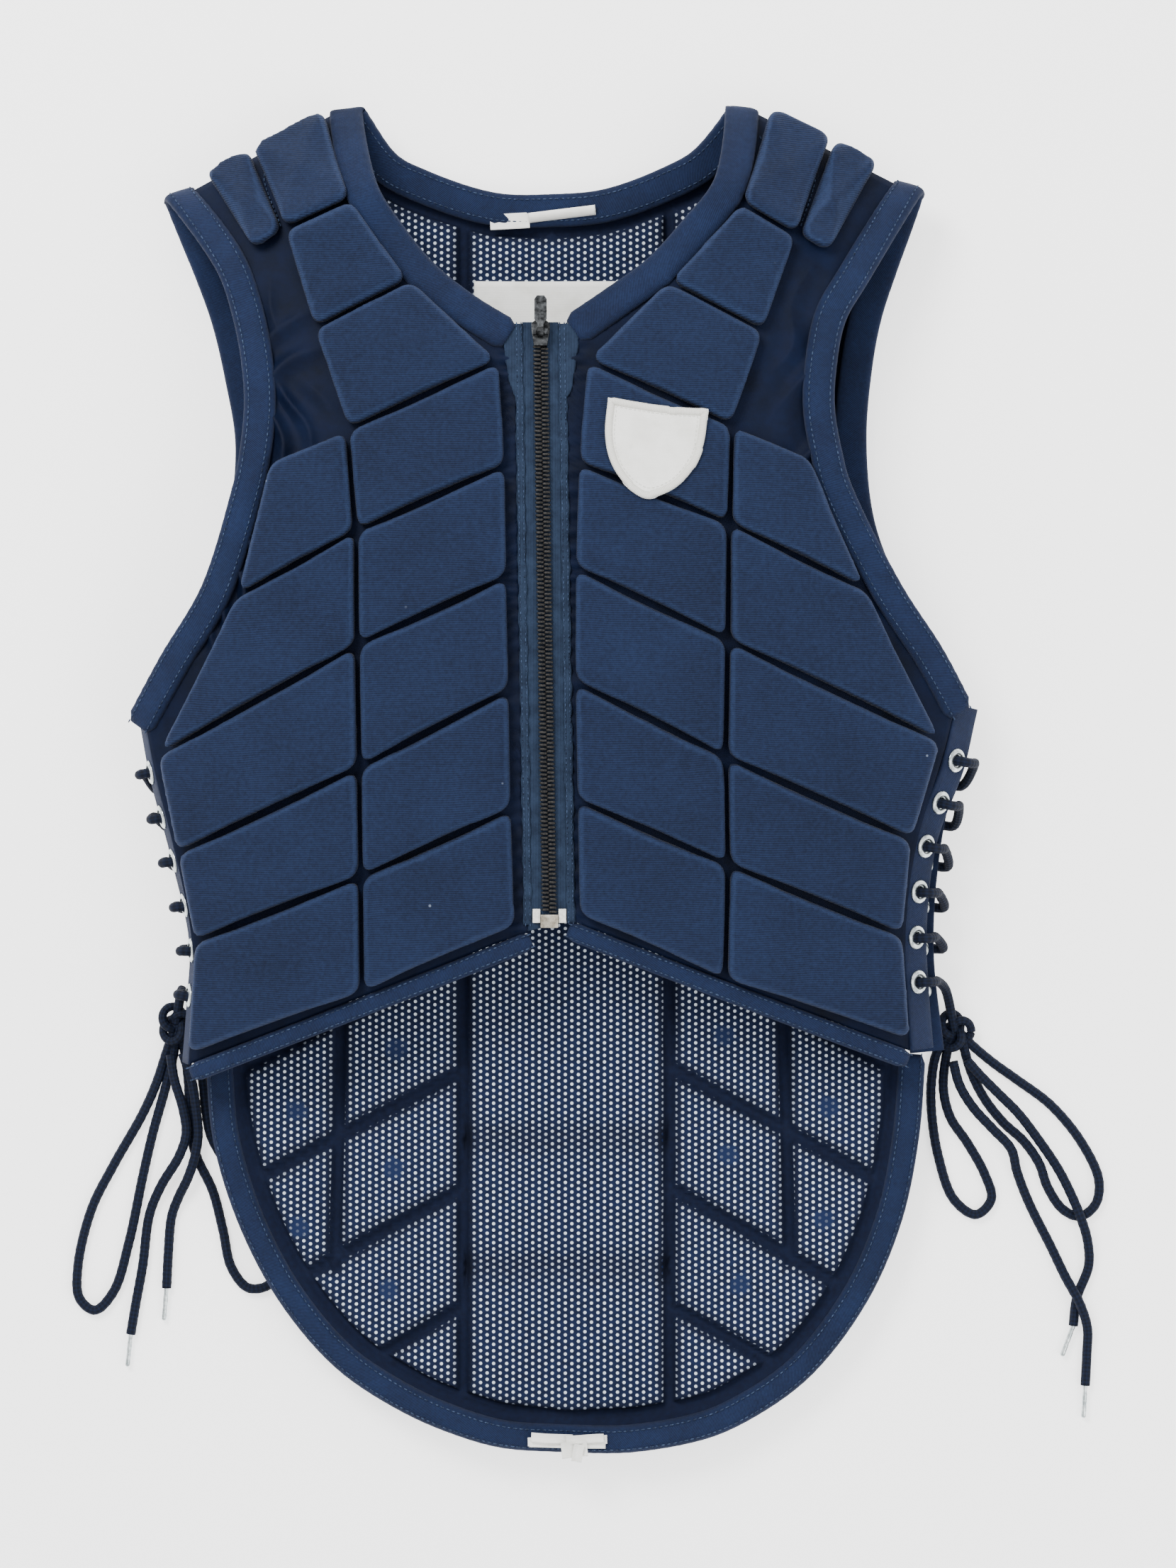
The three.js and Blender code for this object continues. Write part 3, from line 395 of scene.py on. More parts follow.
# %% Zip, metal, thread and labels
TAPE_DARK = srgb(13, 21, 36)
TAPE_LIGHT = srgb(46, 62, 86)
TEETH_DARK = srgb(13, 12, 11)
TEETH_TONE_AND_GLINT = srgb(54, 52, 50)
WHITE_CLOTH = srgb(238, 238, 234)
WORN_WHITE = srgb(206, 205, 196)


def tape_finish():
    paint = Paint("zip_tape", roughness=0.85)
    place = paint.place()
    x, y, _ = paint.parts(place)
    ribs = (x * (2 * math.pi / (0.9 * MM))).maths("SINE") * 0.5 + 0.5
    cloud = paint.noise(place, 130, 3, 0.7)
    paint.colour(paint.mix(ribs * 0.4 + cloud * 0.9 - 0.3, TAPE_DARK, TAPE_LIGHT))
    paint.bump(ribs * 0.6 + cloud * 0.4, 0.3 * MM, 0.8)
    return paint.material


def worn_finish(name, low, high, scale, roughness, metallic, depth):
    """A plain material whose colour and gloss change a little over the surface."""
    paint = Paint(name, roughness=roughness, metallic=metallic)
    cloud = paint.noise(paint.place(), scale, 4, 0.65)
    paint.colour(paint.mix(cloud.step(0.3, 0.75), low, high))
    paint.rough(cloud * 0.2 + (roughness - 0.1))
    paint.bump(cloud, depth, 0.6)
    return paint.material


def label_finish():
    paint = Paint("label_cloth", roughness=0.75)
    place = paint.place()
    x, y, _ = paint.parts(place)
    ribs = (y * (2 * math.pi / (0.7 * MM))).maths("SINE") * 0.5 + 0.5
    cloud = paint.noise(place, 60, 3, 0.6)
    paint.colour(paint.mix(cloud.step(0.35, 0.8) * 0.6, WHITE_CLOTH, WORN_WHITE))
    paint.bump(ribs * 0.4 + cloud * 0.6, 0.2 * MM, 0.6)
    return paint.material


TAPE = tape_finish()
# The teeth's paler patches are random tone that also stands in for their glints: partly a painted highlight.
TEETH = worn_finish("zip_teeth", TEETH_DARK, TEETH_TONE_AND_GLINT, 900, 0.38, 0.0, 0.1 * MM)
DARK_METAL = worn_finish("gunmetal", srgb(16, 17, 19), srgb(74, 76, 78), 300, 0.34, 0.9, 0.05 * MM)
PALE_METAL = worn_finish("bright_tin", srgb(150, 160, 162), srgb(226, 232, 232), 260, 0.28, 0.95, 0.05 * MM)
BOX_METAL = worn_finish("brass_grey", srgb(120, 112, 98), srgb(190, 184, 170), 300, 0.4, 0.7, 0.05 * MM)
NAVY_THREAD = worn_finish("navy_thread", srgb(14, 20, 36), srgb(62, 78, 106), 700, 0.8, 0.0, 0.1 * MM)
WHITE_THREAD = worn_finish("white_thread", srgb(196, 196, 190), srgb(236, 236, 232), 700, 0.8, 0.0, 0.1 * MM)
BLACK_THREAD = worn_finish("black_thread", srgb(20, 22, 24), srgb(48, 50, 54), 700, 0.7, 0.0, 0.1 * MM)
LABEL = label_finish()
print("finishes made")

# %% [markdown]
# ## Helpers for meshes
# The imported solids are loose triangles. A copy with its doubles merged can be subdivided, remeshed and read. Each
# finished piece then hides the solids that it stands for and moves with its body.

# %% Mesh helpers
def link(name, mesh):
    thing = bpy.data.objects.new(name, mesh)
    bpy.context.scene.collection.objects.link(thing)
    return thing


def merged_copy(node, name):
    """A copy of a solid with its doubles merged, as an object of its own."""
    bm = bmesh.new()
    bm.from_mesh(nodes[node].data)
    bmesh.ops.remove_doubles(bm, verts=bm.verts, dist=0.02 * MM)
    bmesh.ops.recalc_face_normals(bm, faces=bm.faces)
    mesh = bpy.data.meshes.new(name)
    bm.to_mesh(mesh)
    bm.free()
    return link(name, mesh)


def settled(thing):
    """Turns the object with its modifiers into a plain mesh."""
    depsgraph = bpy.context.evaluated_depsgraph_get()
    mesh = bpy.data.meshes.new_from_object(thing.evaluated_get(depsgraph))
    thing.modifiers.clear()
    thing.data = mesh
    return thing


def painted(thing, material, smooth=True):
    thing.data.materials.clear()
    thing.data.materials.append(material)
    thing.data.polygons.foreach_set("use_smooth", [smooth] * len(thing.data.polygons))
    return thing


def piece(thing, replaced=(), body="vest"):
    """Hides the solids that a finished piece stands for and hangs it on the body that it moves with."""
    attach(thing, body)
    if replaced:
        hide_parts(*replaced)
    return thing


def points_of(mesh):
    flat = np.empty(len(mesh.vertices) * 3, dtype=np.float64)
    mesh.vertices.foreach_get("co", flat)
    return flat.reshape(-1, 3)


def normals_of(mesh):
    flat = np.empty(len(mesh.vertices) * 3, dtype=np.float64)
    mesh.vertices.foreach_get("normal", flat)
    return flat.reshape(-1, 3)


def put_points(mesh, points):
    mesh.vertices.foreach_set("co", points.ravel())
    mesh.update()


def mesh_from(name, points, faces, material, smooth=True):
    mesh = bpy.data.meshes.new(name)
    mesh.from_pydata([tuple(p) for p in points], [], faces)
    bm = bmesh.new()
    bm.from_mesh(mesh)
    bmesh.ops.recalc_face_normals(bm, faces=bm.faces)
    bm.to_mesh(mesh)
    bm.free()
    return painted(link(name, mesh), material, smooth)


def tree_of(node):
    mesh = nodes[node].data
    return BVHTree.FromPolygons([v.co for v in mesh.vertices], [p.vertices for p in mesh.polygons])


FRONTS = {side: tree_of(f"front_panel_{side}") for side in SIDES}
HIGH = 0.5


def over_front(x, y, rise=0.0, side=None):
    """A point over the front cloth at x and y, and the cloth's normal there."""
    side = side or ("left" if x < 0 else "right")
    hit, normal, _, _ = FRONTS[side].ray_cast(Vector((x, y, HIGH)), Vector((0, 0, -1)))
    if hit is None:
        hit, normal, _, _ = FRONTS[side].find_nearest(Vector((x, y, 0.07)))
    if normal.z < 0:
        normal = -normal
    return hit + normal * rise, normal


# %% [markdown]
# A smooth line through a few points is a Catmull-Rom curve. Resampled at even steps, it carries cords, bands and
# stitches alike. A tube's rings keep turning as little as they can, and its UV map holds the length in metres.

# %% Curves and tubes
def smooth_line(points, step, closed=False):
    """Evenly spaced points on a smooth curve through the given ones."""
    given = np.array([tuple(p) for p in points], dtype=float)
    if closed:
        given = np.vstack([given[-1], given, given[0], given[1]])
    else:
        given = np.vstack([2 * given[0] - given[1], given, 2 * given[-1] - given[-2]])
    dense = []
    for a, b, c, d in zip(given, given[1:], given[2:], given[3:]):
        knots = np.cumsum([0] + [max(np.linalg.norm(q - p), 1e-9) ** 0.5 for p, q in ((a, b), (b, c), (c, d))])
        for t in np.linspace(knots[1], knots[2], 17)[:-1]:
            one = (knots[1] - t) / knots[1] * a + t / knots[1] * b
            two = ((knots[2] - t) * b + (t - knots[1]) * c) / (knots[2] - knots[1])
            three = ((knots[3] - t) * c + (t - knots[2]) * d) / (knots[3] - knots[2])
            four = ((knots[2] - t) * one + t * two) / knots[2]
            five = ((knots[3] - t) * two + (t - knots[1]) * three) / (knots[3] - knots[1])
            dense.append(((knots[2] - t) * four + (t - knots[1]) * five) / (knots[2] - knots[1]))
    dense.append(given[-2])
    dense = np.array(dense)
    lengths = np.concatenate([[0], np.cumsum(np.linalg.norm(np.diff(dense, axis=0), axis=1))])
    count = max(2, round(lengths[-1] / step))
    places = np.linspace(0, lengths[-1], count + 1)
    return np.stack([np.interp(places, lengths, dense[:, k]) for k in range(3)], axis=1)


def line_length(points):
    return float(np.linalg.norm(np.diff(points, axis=0), axis=1).sum())


def ringed(name, rings, material, girth, closed=False):
    """A skin over rings of points, with a UV map of its length and girth."""
    rings = np.array(rings)
    count, size = rings.shape[:2]
    points = rings.reshape(-1, 3)
    faces, uvs = [], []
    lengths = np.concatenate([[0], np.cumsum(np.linalg.norm(np.diff(rings.mean(axis=1), axis=0), axis=1))])
    for i in range(count if closed else count - 1):
        k = (i + 1) % count
        for j in range(size):
            m = (j + 1) % size
            faces.append((i * size + j, i * size + m, k * size + m, k * size + j))
            here, there = lengths[i], lengths[k] if k else lengths[-1] + (lengths[-1] - lengths[-2])
            v0, v1 = j * girth / size, (j + 1) * girth / size
            uvs.append(((here, v0), (here, v1), (there, v1), (there, v0)))
    if not closed:
        for start in (0, (count - 1) * size):
            faces.append(tuple(range(start, start + size)))
            uvs.append(tuple((lengths[0], 0.0) for _ in range(size)))
    mesh = bpy.data.meshes.new(name)
    mesh.from_pydata([tuple(p) for p in points], [], faces)
    layer = mesh.uv_layers.new(name="Length")
    layer.data.foreach_set("uv", [number for face in uvs for pair in face for number in pair])
    bm = bmesh.new()
    bm.from_mesh(mesh)
    bmesh.ops.recalc_face_normals(bm, faces=bm.faces)
    bm.to_mesh(mesh)
    bm.free()
    return painted(link(name, mesh), material)


def carried_frames(line, first=(0, 0, 1), closed=False):
    """A side and an up vector at each point of a line, turning as little as they can."""
    tangents = np.gradient(line, axis=0)
    if closed:
        tangents = np.roll(line, -1, axis=0) - np.roll(line, 1, axis=0)
    across = Vector(first)
    frames = []
    for tangent in tangents:
        along = Vector(tangent).normalized()
        across = (across - along * across.dot(along)).normalized()
        frames.append((across, along.cross(across)))
    return frames


def tube(name, line, diameter, material, sides=12, girth=1.0, shape=None, closed=False):
    """A round bar along a line. shape gives the radius at a place and an angle, as a share of the full one."""
    rings = []
    place = 0.0
    for i, (p, (across, other)) in enumerate(zip(line, carried_frames(line, closed=closed))):
        if i:
            place += float(np.linalg.norm(line[i] - line[i - 1]))
        ring = []
        for j in range(sides):
            angle = 2 * math.pi * j / sides
            radius = diameter / 2 * (shape(place, angle) if shape else 1)
            ring.append(Vector(p) + across * (math.cos(angle) * radius) + other * (math.sin(angle) * radius))
        rings.append(ring)
    return ringed(name, rings, material, girth, closed)


# %% [markdown]
# ## Stitches
# A row of stitches is the same short thread again and again along a line. Geometry Nodes turn the line into points
# at one pitch, put a bead of thread on each, turned along the line, and make the copies real.

# %% The stitch tree
def stitch_tree():
    tree = bpy.data.node_groups.new("Stitch Row", "GeometryNodeTree")
    inputs = [
        ("Geometry", "NodeSocketGeometry", None),
        ("Pitch", "NodeSocketFloat", 3.2 * MM),
        ("Stitch Length", "NodeSocketFloat", 2.4 * MM),
        ("Thickness", "NodeSocketFloat", 0.8 * MM),
        ("Thread", "NodeSocketMaterial", None),
    ]
    for name, kind, value in inputs:
        socket = tree.interface.new_socket(name, in_out="INPUT", socket_type=kind)
        if value is not None:
            socket.default_value = value
    tree.interface.new_socket("Geometry", in_out="OUTPUT", socket_type="NodeSocketGeometry")

    def add(kind, links=None, **settings):
        made = tree.nodes.new(kind)
        for key, value in settings.items():
            setattr(made, key, value)
        for key, value in (links or {}).items():
            if isinstance(value, bpy.types.NodeSocket):
                tree.links.new(value, made.inputs[key])
            else:
                made.inputs[key].default_value = value
        return made

    entry = add("NodeGroupInput")
    spots = add("GeometryNodeCurveToPoints", {"Curve": entry.outputs["Geometry"],
                                              "Length": entry.outputs["Pitch"]}, mode="LENGTH")
    bead = add("GeometryNodeMeshUVSphere", {"Segments": 6, "Rings": 4, "Radius": 0.5})
    sizes = add("ShaderNodeCombineXYZ", {"X": entry.outputs["Thickness"], "Y": entry.outputs["Thickness"],
                                         "Z": entry.outputs["Stitch Length"]})
    row = add("GeometryNodeInstanceOnPoints", {"Points": spots.outputs["Points"],
                                               "Instance": bead.outputs["Mesh"],
                                               "Rotation": spots.outputs["Rotation"],
                                               "Scale": sizes.outputs["Vector"]})
    real = add("GeometryNodeRealizeInstances", {"Geometry": row.outputs["Instances"]})
    smooth = add("GeometryNodeSetShadeSmooth", {"Geometry": real.outputs["Geometry"]})
    thread = add("GeometryNodeSetMaterial", {"Geometry": smooth.outputs["Geometry"],
                                             "Material": entry.outputs["Thread"]})
    leave = add("NodeGroupOutput")
    tree.links.new(thread.outputs["Geometry"], leave.inputs["Geometry"])
    return tree


STITCHES = stitch_tree()


def set_inputs(modifier, **values):
    """Sets a modifier's inputs by their sockets' identifiers."""
    for item in modifier.node_group.interface.items_tree:
        if item.item_type == "SOCKET" and item.in_out == "INPUT":
            key = item.name.replace(" ", "_").lower()
            if key in values:
                modifier[item.identifier] = values[key]


def line_object(name, lines, closed=False):
    data = bpy.data.curves.new(name, "CURVE")
    data.dimensions = "3D"
    for line in lines:
        spline = data.splines.new("POLY")
        spline.points.add(len(line) - 1)
        spline.points.foreach_set("co", [n for p in line for n in (*p, 1.0)])
        spline.use_cyclic_u = closed
    return link(name, data)


def made_by(name, carrier, tree, **values):
    """Runs a Geometry Nodes tree on an object and keeps the result as a plain mesh."""
    modifier = carrier.modifiers.new("made", "NODES")
    modifier.node_group = tree
    set_inputs(modifier, **values)
    depsgraph = bpy.context.evaluated_depsgraph_get()
    mesh = bpy.data.meshes.new_from_object(carrier.evaluated_get(depsgraph))
    bpy.data.objects.remove(carrier)
    mesh.name = name
    return link(name, mesh)


def stitches(name, lines, thread=NAVY_THREAD, closed=False, pitch=3.4, length=2.6, thickness=0.9):
    carrier = line_object(name + "_line", lines, closed)
    row = made_by(name, carrier, STITCHES, pitch=pitch * MM, stitch_length=length * MM,
                  thickness=thickness * MM, thread=thread)
    return piece(row)


# %% [markdown]
# ## Foam blocks
# Each block is foam under a stretched knit: flat on top, a little swollen, with round edges. The solid is remeshed
# finely, then a short cloth simulation blows it up with a slight pressure. A cap keeps a block out of its
# neighbour's groove. All blocks are simulated together, because stepping the frames costs the same once. An
# attribute marks the knit's upper edges, where a paler colour is painted on as a highlight.

# %% Blow up the blocks
VOXEL = 1.75 * MM
PRESSURE = 4.0
SIM_FRAMES = 20
SWELL = 0.9 * MM
BLOCKS = sorted(name for name in nodes if "_pad_" in name)


def remeshed(node):
    block = merged_copy(node, node.replace("_pad_", "_block_"))
    remesh = block.modifiers.new("remesh", "REMESH")
    remesh.mode = "VOXEL"
    remesh.voxel_size = VOXEL
    return settled(block)


def blown(blocks):
    """Runs one cloth simulation on all blocks and keeps each point within the cap."""
    starts = {}
    for block in blocks:
        starts[block.name] = points_of(block.data)
        cloth = block.modifiers.new("cloth", "CLOTH")
        cloth.settings.quality = 4
        cloth.settings.mass = 0.3
        cloth.settings.use_pressure = True
        cloth.settings.uniform_pressure_force = PRESSURE
        cloth.settings.effector_weights.gravity = 0
        cloth.settings.tension_stiffness = 15
        cloth.settings.compression_stiffness = 15
        cloth.settings.bending_stiffness = 4
        cloth.point_cache.frame_start = 1
        cloth.point_cache.frame_end = SIM_FRAMES
    for step in range(1, SIM_FRAMES + 1):
        bpy.context.scene.frame_set(step)
    depsgraph = bpy.context.evaluated_depsgraph_get()
    ends = {block.name: points_of(block.evaluated_get(depsgraph).data) for block in blocks}
    for block in blocks:
        block.modifiers.clear()
        moved = ends[block.name] - starts[block.name]
        far = np.linalg.norm(moved, axis=1, keepdims=True)
        put_points(block.data, starts[block.name] + moved * np.minimum(1, SWELL / np.maximum(far, 1e-9)))
    bpy.context.scene.frame_set(1)


def mark_rim_highlight(block, side):
    """A vertex attribute that is 1 along a block's upper edge, where the knit gets a painted highlight."""
    points, normals = points_of(block.data), normals_of(block.data)
    values = np.zeros(len(points))
    for i, (point, normal) in enumerate(zip(points, normals)):
        near, up, _, far = FRONTS[side].find_nearest(Vector(point))
        lean = abs(Vector(normal).dot(up))
        if far > HIGHLIGHT_ABOVE and lean < HIGHLIGHT_LEAN:
            values[i] = min(1.0, (HIGHLIGHT_LEAN - lean) / 0.15) * min(1.0, max(0.0, lean - 0.3) / 0.15)
    layer = block.data.attributes.new("rim", "FLOAT", "POINT")
    layer.data.foreach_set("value", values.astype(np.float32))


HIGHLIGHT_ABOVE = 5 * MM
SHOULDER_SOFTNESS = 14
HIGHLIGHT_LEAN = 0.94
SEAT_SAMPLES = 20
FULL_DEPTH = 9 * MM
SHOULDER_DEPTH = 12 * MM


def curved_terms(x, y):
    """Terms of a gently curved surface, with x and y in decimetres from the shoulder's middle."""
    x, y = x * 10, (y - 0.34) * 10
    return np.stack([np.ones_like(x), x, y, x * x, x * y, y * y, y * y * y, x * y * y], axis=-1)


def seated(block, side):
    """Lowers a shoulder block onto the cloth, which falls away under it towards the fold."""
    points = points_of(block.data)
    own = BVHTree.FromPolygons([Vector(p) for p in points], [p.vertices for p in block.data.polygons])
    (x0, y0, _), (x1, y1, _) = points.min(axis=0), points.max(axis=0)
    up, down = Vector((0, 0, 1)), Vector((0, 0, -1))
    spots, heights = [], []
    for x in np.linspace(x0, x1, SEAT_SAMPLES):
        for y in np.linspace(y0, y1, SEAT_SAMPLES):
            under = own.ray_cast(Vector((x, y, -HIGH)), up)[0]
            over = own.ray_cast(Vector((x, y, HIGH)), down)[0]
            cloth = FRONTS[side].ray_cast(Vector((x, y, HIGH)), down)[0]
            if under is None or over is None or cloth is None or over.z - under.z < FULL_DEPTH:
                continue
            spots.append((x, y))
            heights.append((under.z, over.z - under.z, cloth.z))
    spots = np.array(spots)
    fit = np.linalg.lstsq(curved_terms(*spots.T), np.array(heights), rcond=None)[0]
    places = np.clip(points[:, :2], spots.min(axis=0), spots.max(axis=0))
    under, depth, cloth = (curved_terms(*places.T) @ fit).T
    height = (points[:, 2] - under) * np.minimum(1, SHOULDER_DEPTH / depth)
    points[:, 2] = np.minimum(points[:, 2], np.maximum(cloth + height, cloth - 0.5 * MM))
    put_points(block.data, points)


def make_blocks():
    blocks = [remeshed(node) for node in BLOCKS]
    blown(blocks)
    for node, block in zip(BLOCKS, blocks):
        soften = block.modifiers.new("soften", "SMOOTH")
        soften.factor = 0.5
        soften.iterations = SHOULDER_SOFTNESS if node.startswith("shoulder") else 2
        painted(settled(block), KNIT)
        side = node.rsplit("_", 1)[1]
        if node.startswith("shoulder"):
            seated(block, side)
        mark_rim_highlight(block, side)
        piece(block, [node])
    return blocks


blocks = make_blocks()
print(len(blocks), "blocks,", sum(len(b.data.polygons) for b in blocks), "faces")

# %% [markdown]
# ## Front cloth
# The blocks are sewn onto a thin cloth. Beside the armholes nothing fills it, so it falls in long wrinkles, and
# beside the zip it is gathered in small pleats. Both are moves of the fine mesh along its normals.

# %% Front shells
SHELL_LEVELS = 4
PLEAT = 9 * MM
PLEAT_DEPTH = 1.3 * MM
WRINKLE = 13 * MM
WRINKLE_DEPTH = 2.7 * MM
ZIP_TOP = Vector((-6.3, 262, 0)) * MM
ZIP_FOOT = Vector((-1.1, -84, 0)) * MM


def zip_x(y):
    share = (ZIP_TOP.y - y) / (ZIP_TOP.y - ZIP_FOOT.y)
    return ZIP_TOP.x + (ZIP_FOOT.x - ZIP_TOP.x) * share


CORNER = math.radians(16)


def crease_rim(thing, angle=math.radians(50)):
    """Keeps a shell's thin rim and its corners when it is subdivided."""
    bm = bmesh.new()
    bm.from_mesh(thing.data)
    creases = bm.edges.layers.float.new("crease_edge")
    for edge in bm.edges:
        if len(edge.link_faces) != 2:
            continue
        bend = edge.calc_face_angle()
        if bend > angle or (edge.calc_length() < 3.5 * MM and bend > CORNER):
            edge[creases] = 1.0
    bmesh.ops.join_triangles(bm, faces=bm.faces, angle_face_threshold=0.6, angle_shape_threshold=3.1)
    bm.to_mesh(thing.data)
    bm.free()


def subdivided(thing, levels):
    finer = thing.modifiers.new("finer", "SUBSURF")
    finer.levels = finer.render_levels = levels
    return settled(thing)


def creased(x, y, hand):
    """Irregular folds: a few slanted waves that bend and fade where a slow noise says."""
    slow = np.zeros((len(x), 3))
    wanted = (hand * x > 110 * MM) & (y > 50 * MM)
    for i in np.nonzero(wanted)[0]:
        slow[i] = noise.noise_vector(Vector((x[i], y[i], 0.1 * hand)) * 26)
    bent_x, bent_y = x + slow[:, 0] * 13 * MM, y + slow[:, 1] * 13 * MM
    steep = 1 - 2 * np.abs(np.sin(math.pi * (bent_x * 0.94 - hand * bent_y * 0.34) / WRINKLE))
    flat = 1 - 2 * np.abs(np.sin(math.pi * (bent_x * 0.5 * hand + bent_y * 0.86) / (2.1 * WRINKLE)))
    share = np.clip(0.5 + 1.6 * slow[:, 2], 0, 1)
    return steep * share + flat * (1 - share)


def front_shell(side):
    node = f"front_panel_{side}"
    shell = merged_copy(node, f"front_shell_{side}")
    crease_rim(shell)
    subdivided(shell, SHELL_LEVELS)
    points = points_of(shell.data)
    normals = normals_of(shell.data)
    x, y = points[:, 0], points[:, 1]
    to_zip = np.abs(x - np.array([zip_x(v) for v in y]))
    pleats = np.exp(-(((to_zip - 19 * MM) / (7 * MM)) ** 2)) * np.sin(2 * math.pi * y / PLEAT + 3 * np.sin(y * 60))
    depth = PLEAT_DEPTH * pleats * (normals[:, 2] > 0)
    hand = SIDES[side]
    arm = np.clip((hand * x - 120 * MM) / (30 * MM), 0, 1) * np.clip((y - 60 * MM) / (40 * MM), 0, 1)
    arm *= np.clip((300 * MM - y) / (60 * MM), 0, 1)
    depth += WRINKLE_DEPTH * arm * creased(x, y, hand) * (normals[:, 2] > 0)
    put_points(shell.data, points + normals * depth[:, None])
    painted(shell, CLOTH)
    piece(shell, [node])
    return shell


shells = {side: front_shell(side) for side in SIDES}
print("front shells", [len(s.data.polygons) for s in shells.values()], "faces")

# %% [markdown]
# ## The back
# The back is one padded body: mesh lining above, knit below. Its blocks show as shallow cushions with sewn valleys
# between them. The seams' places come from the photograph, and a function gives how deep a point lies in them.

# %% Seams of the back
SPINE_SEAMS = [px(651, 0)[0], px(946, 0)[0]]
SPINE_TOP, SPINE_LOW = 0.33, px(0, 2022)[1]
CROSS_SEAMS = [px(0, 1614)[1], px(0, 1798)[1]]
SLANTED_SEAMS = [
    (px(640, 1522), px(340, 1678)), (px(640, 1690), px(395, 1822)), (px(640, 1859), px(490, 1946)),
    (px(640, 1354), px(300, 1530)), (px(640, 1186), px(250, 1390)), (px(640, 1018), px(215, 1270)),
    (px(954, 1515), px(1262, 1682)), (px(954, 1687), px(1195, 1824)), (px(958, 1859), px(1105, 1938)),
    (px(954, 1343), px(1300, 1530)), (px(954, 1171), px(1340, 1390)), (px(954, 999), px(1350, 1250)),
]
COLUMN_SEAMS = [(px(485, 1080), px(468, 1792)), (px(1100, 1080), px(1118, 1785))]
VENTS = [px(*p) for p in (
    (556, 1486), (414, 1572), (552, 1655), (418, 1739), (544, 1828),
    (1024, 1465), (1173, 1567), (1029, 1635), (1166, 1727), (1047, 1821),
)]
VENT_RADIUS = 6.4 * MM
SEAM_HALF = 1.9 * MM
SEAM_EDGE = 2.6 * MM
SEAM_DEPTH = 5.6 * MM
CROSS_DEPTH = 4.6 * MM
CROSS_REACH = 15 * MM


def segment_distance(points, start, end):
    """How far each x, y point lies from a straight seam."""
    start, end = np.array(start), np.array(end)
    along = end - start
    share = np.clip(((points - start) @ along) / (along @ along), 0, 1)
    return np.linalg.norm(points - (start + share[:, None] * along), axis=1)


def seam_field(xy):
    """Distance to the nearest sewn seam, and the depth of the soft valleys across the spine."""
    seams = [((x, SPINE_TOP), (x, SPINE_LOW)) for x in SPINE_SEAMS]
    seams += SLANTED_SEAMS + COLUMN_SEAMS
    near = np.min([segment_distance(xy, *seam) for seam in seams], axis=0)
    inside = (xy[:, 0] > SPINE_SEAMS[0]) & (xy[:, 0] < SPINE_SEAMS[1])
    valley = np.zeros(len(xy))
    for y in CROSS_SEAMS:
        valley = np.maximum(valley, np.exp(-(((xy[:, 1] - y) / CROSS_REACH) ** 2) * 3))
    return near, valley * inside


# %% [markdown]
# The lining's solid gives the outline. Walking over its hollow and gentle edges from the middle finds the upper sheet. The
# sheet is subdivided four times for the top and twice for the underside, so each coarse edge of the rim meets
# exactly four fine ones, and a fan of triangles closes the side.

# %% Top and underside of the back
TOP_LEVELS = 4
UNDER_LEVELS = 2
RIM_RATIO = 2 ** (TOP_LEVELS - UNDER_LEVELS)
GENTLE = math.radians(50)
QUAD_ANGLE = 3.1
CROWN = 1.6 * MM
RIM_MARGIN = 7 * MM
VENT_DEPTH = 0.8 * MM
BACK_HEIGHT = 12.5 * MM


def upper_sheet(node, name):
    """The upper faces of a shell, each groove's lengthwise edge split once."""
    sheet = merged_copy(node, name)
    bm = bmesh.new()
    bm.from_mesh(sheet.data)
    waiting = [min((f for f in bm.faces if f.normal.z > 0.9), key=lambda f: f.calc_center_median().xy.length)]
    found = set(waiting)
    while waiting:
        for edge in waiting.pop().edges:
            if edge.calc_face_angle_signed(math.pi) < GENTLE:
                fresh = set(edge.link_faces) - found
                found |= fresh
                waiting.extend(fresh)
    bmesh.ops.delete(bm, geom=[f for f in bm.faces if f not in found], context="FACES")
    bmesh.ops.join_triangles(bm, faces=bm.faces, angle_face_threshold=QUAD_ANGLE,
                             angle_shape_threshold=QUAD_ANGLE)
    across = []
    for edge in bm.edges:
        run = edge.verts[0].co - edge.verts[1].co
        if abs(run.x) > abs(run.y):
            across.append(edge)
    bmesh.ops.subdivide_edges(bm, edges=across, cuts=1, use_grid_fill=True)
    bm.to_mesh(sheet.data)
    bm.free()
    return sheet


def rim_loop(mesh):
    """The vertices round a sheet's rim, in order, from the first one."""
    bm = bmesh.new()
    bm.from_mesh(mesh)
    beside = {}
    for edge in bm.edges:
        if edge.is_boundary:
            one, other = (v.index for v in edge.verts)
            beside.setdefault(one, []).append(other)
            beside.setdefault(other, []).append(one)
    bm.free()
    loop = [min(beside)]
    while True:
        onward = [v for v in beside[loop[-1]] if v not in loop[-2:]]
        if not onward or onward[0] == loop[0]:
            return loop
        loop.append(onward[0])


def rim_distance(points, rim):
    """How far each point lies from the rim's points, along the floor."""
    tree = KDTree(len(rim))
    for i, (x, y, _) in enumerate(rim):
        tree.insert((x, y, 0), i)
    tree.balance()
    return np.array([tree.find((x, y, 0))[2] for x, y in points[:, :2]])


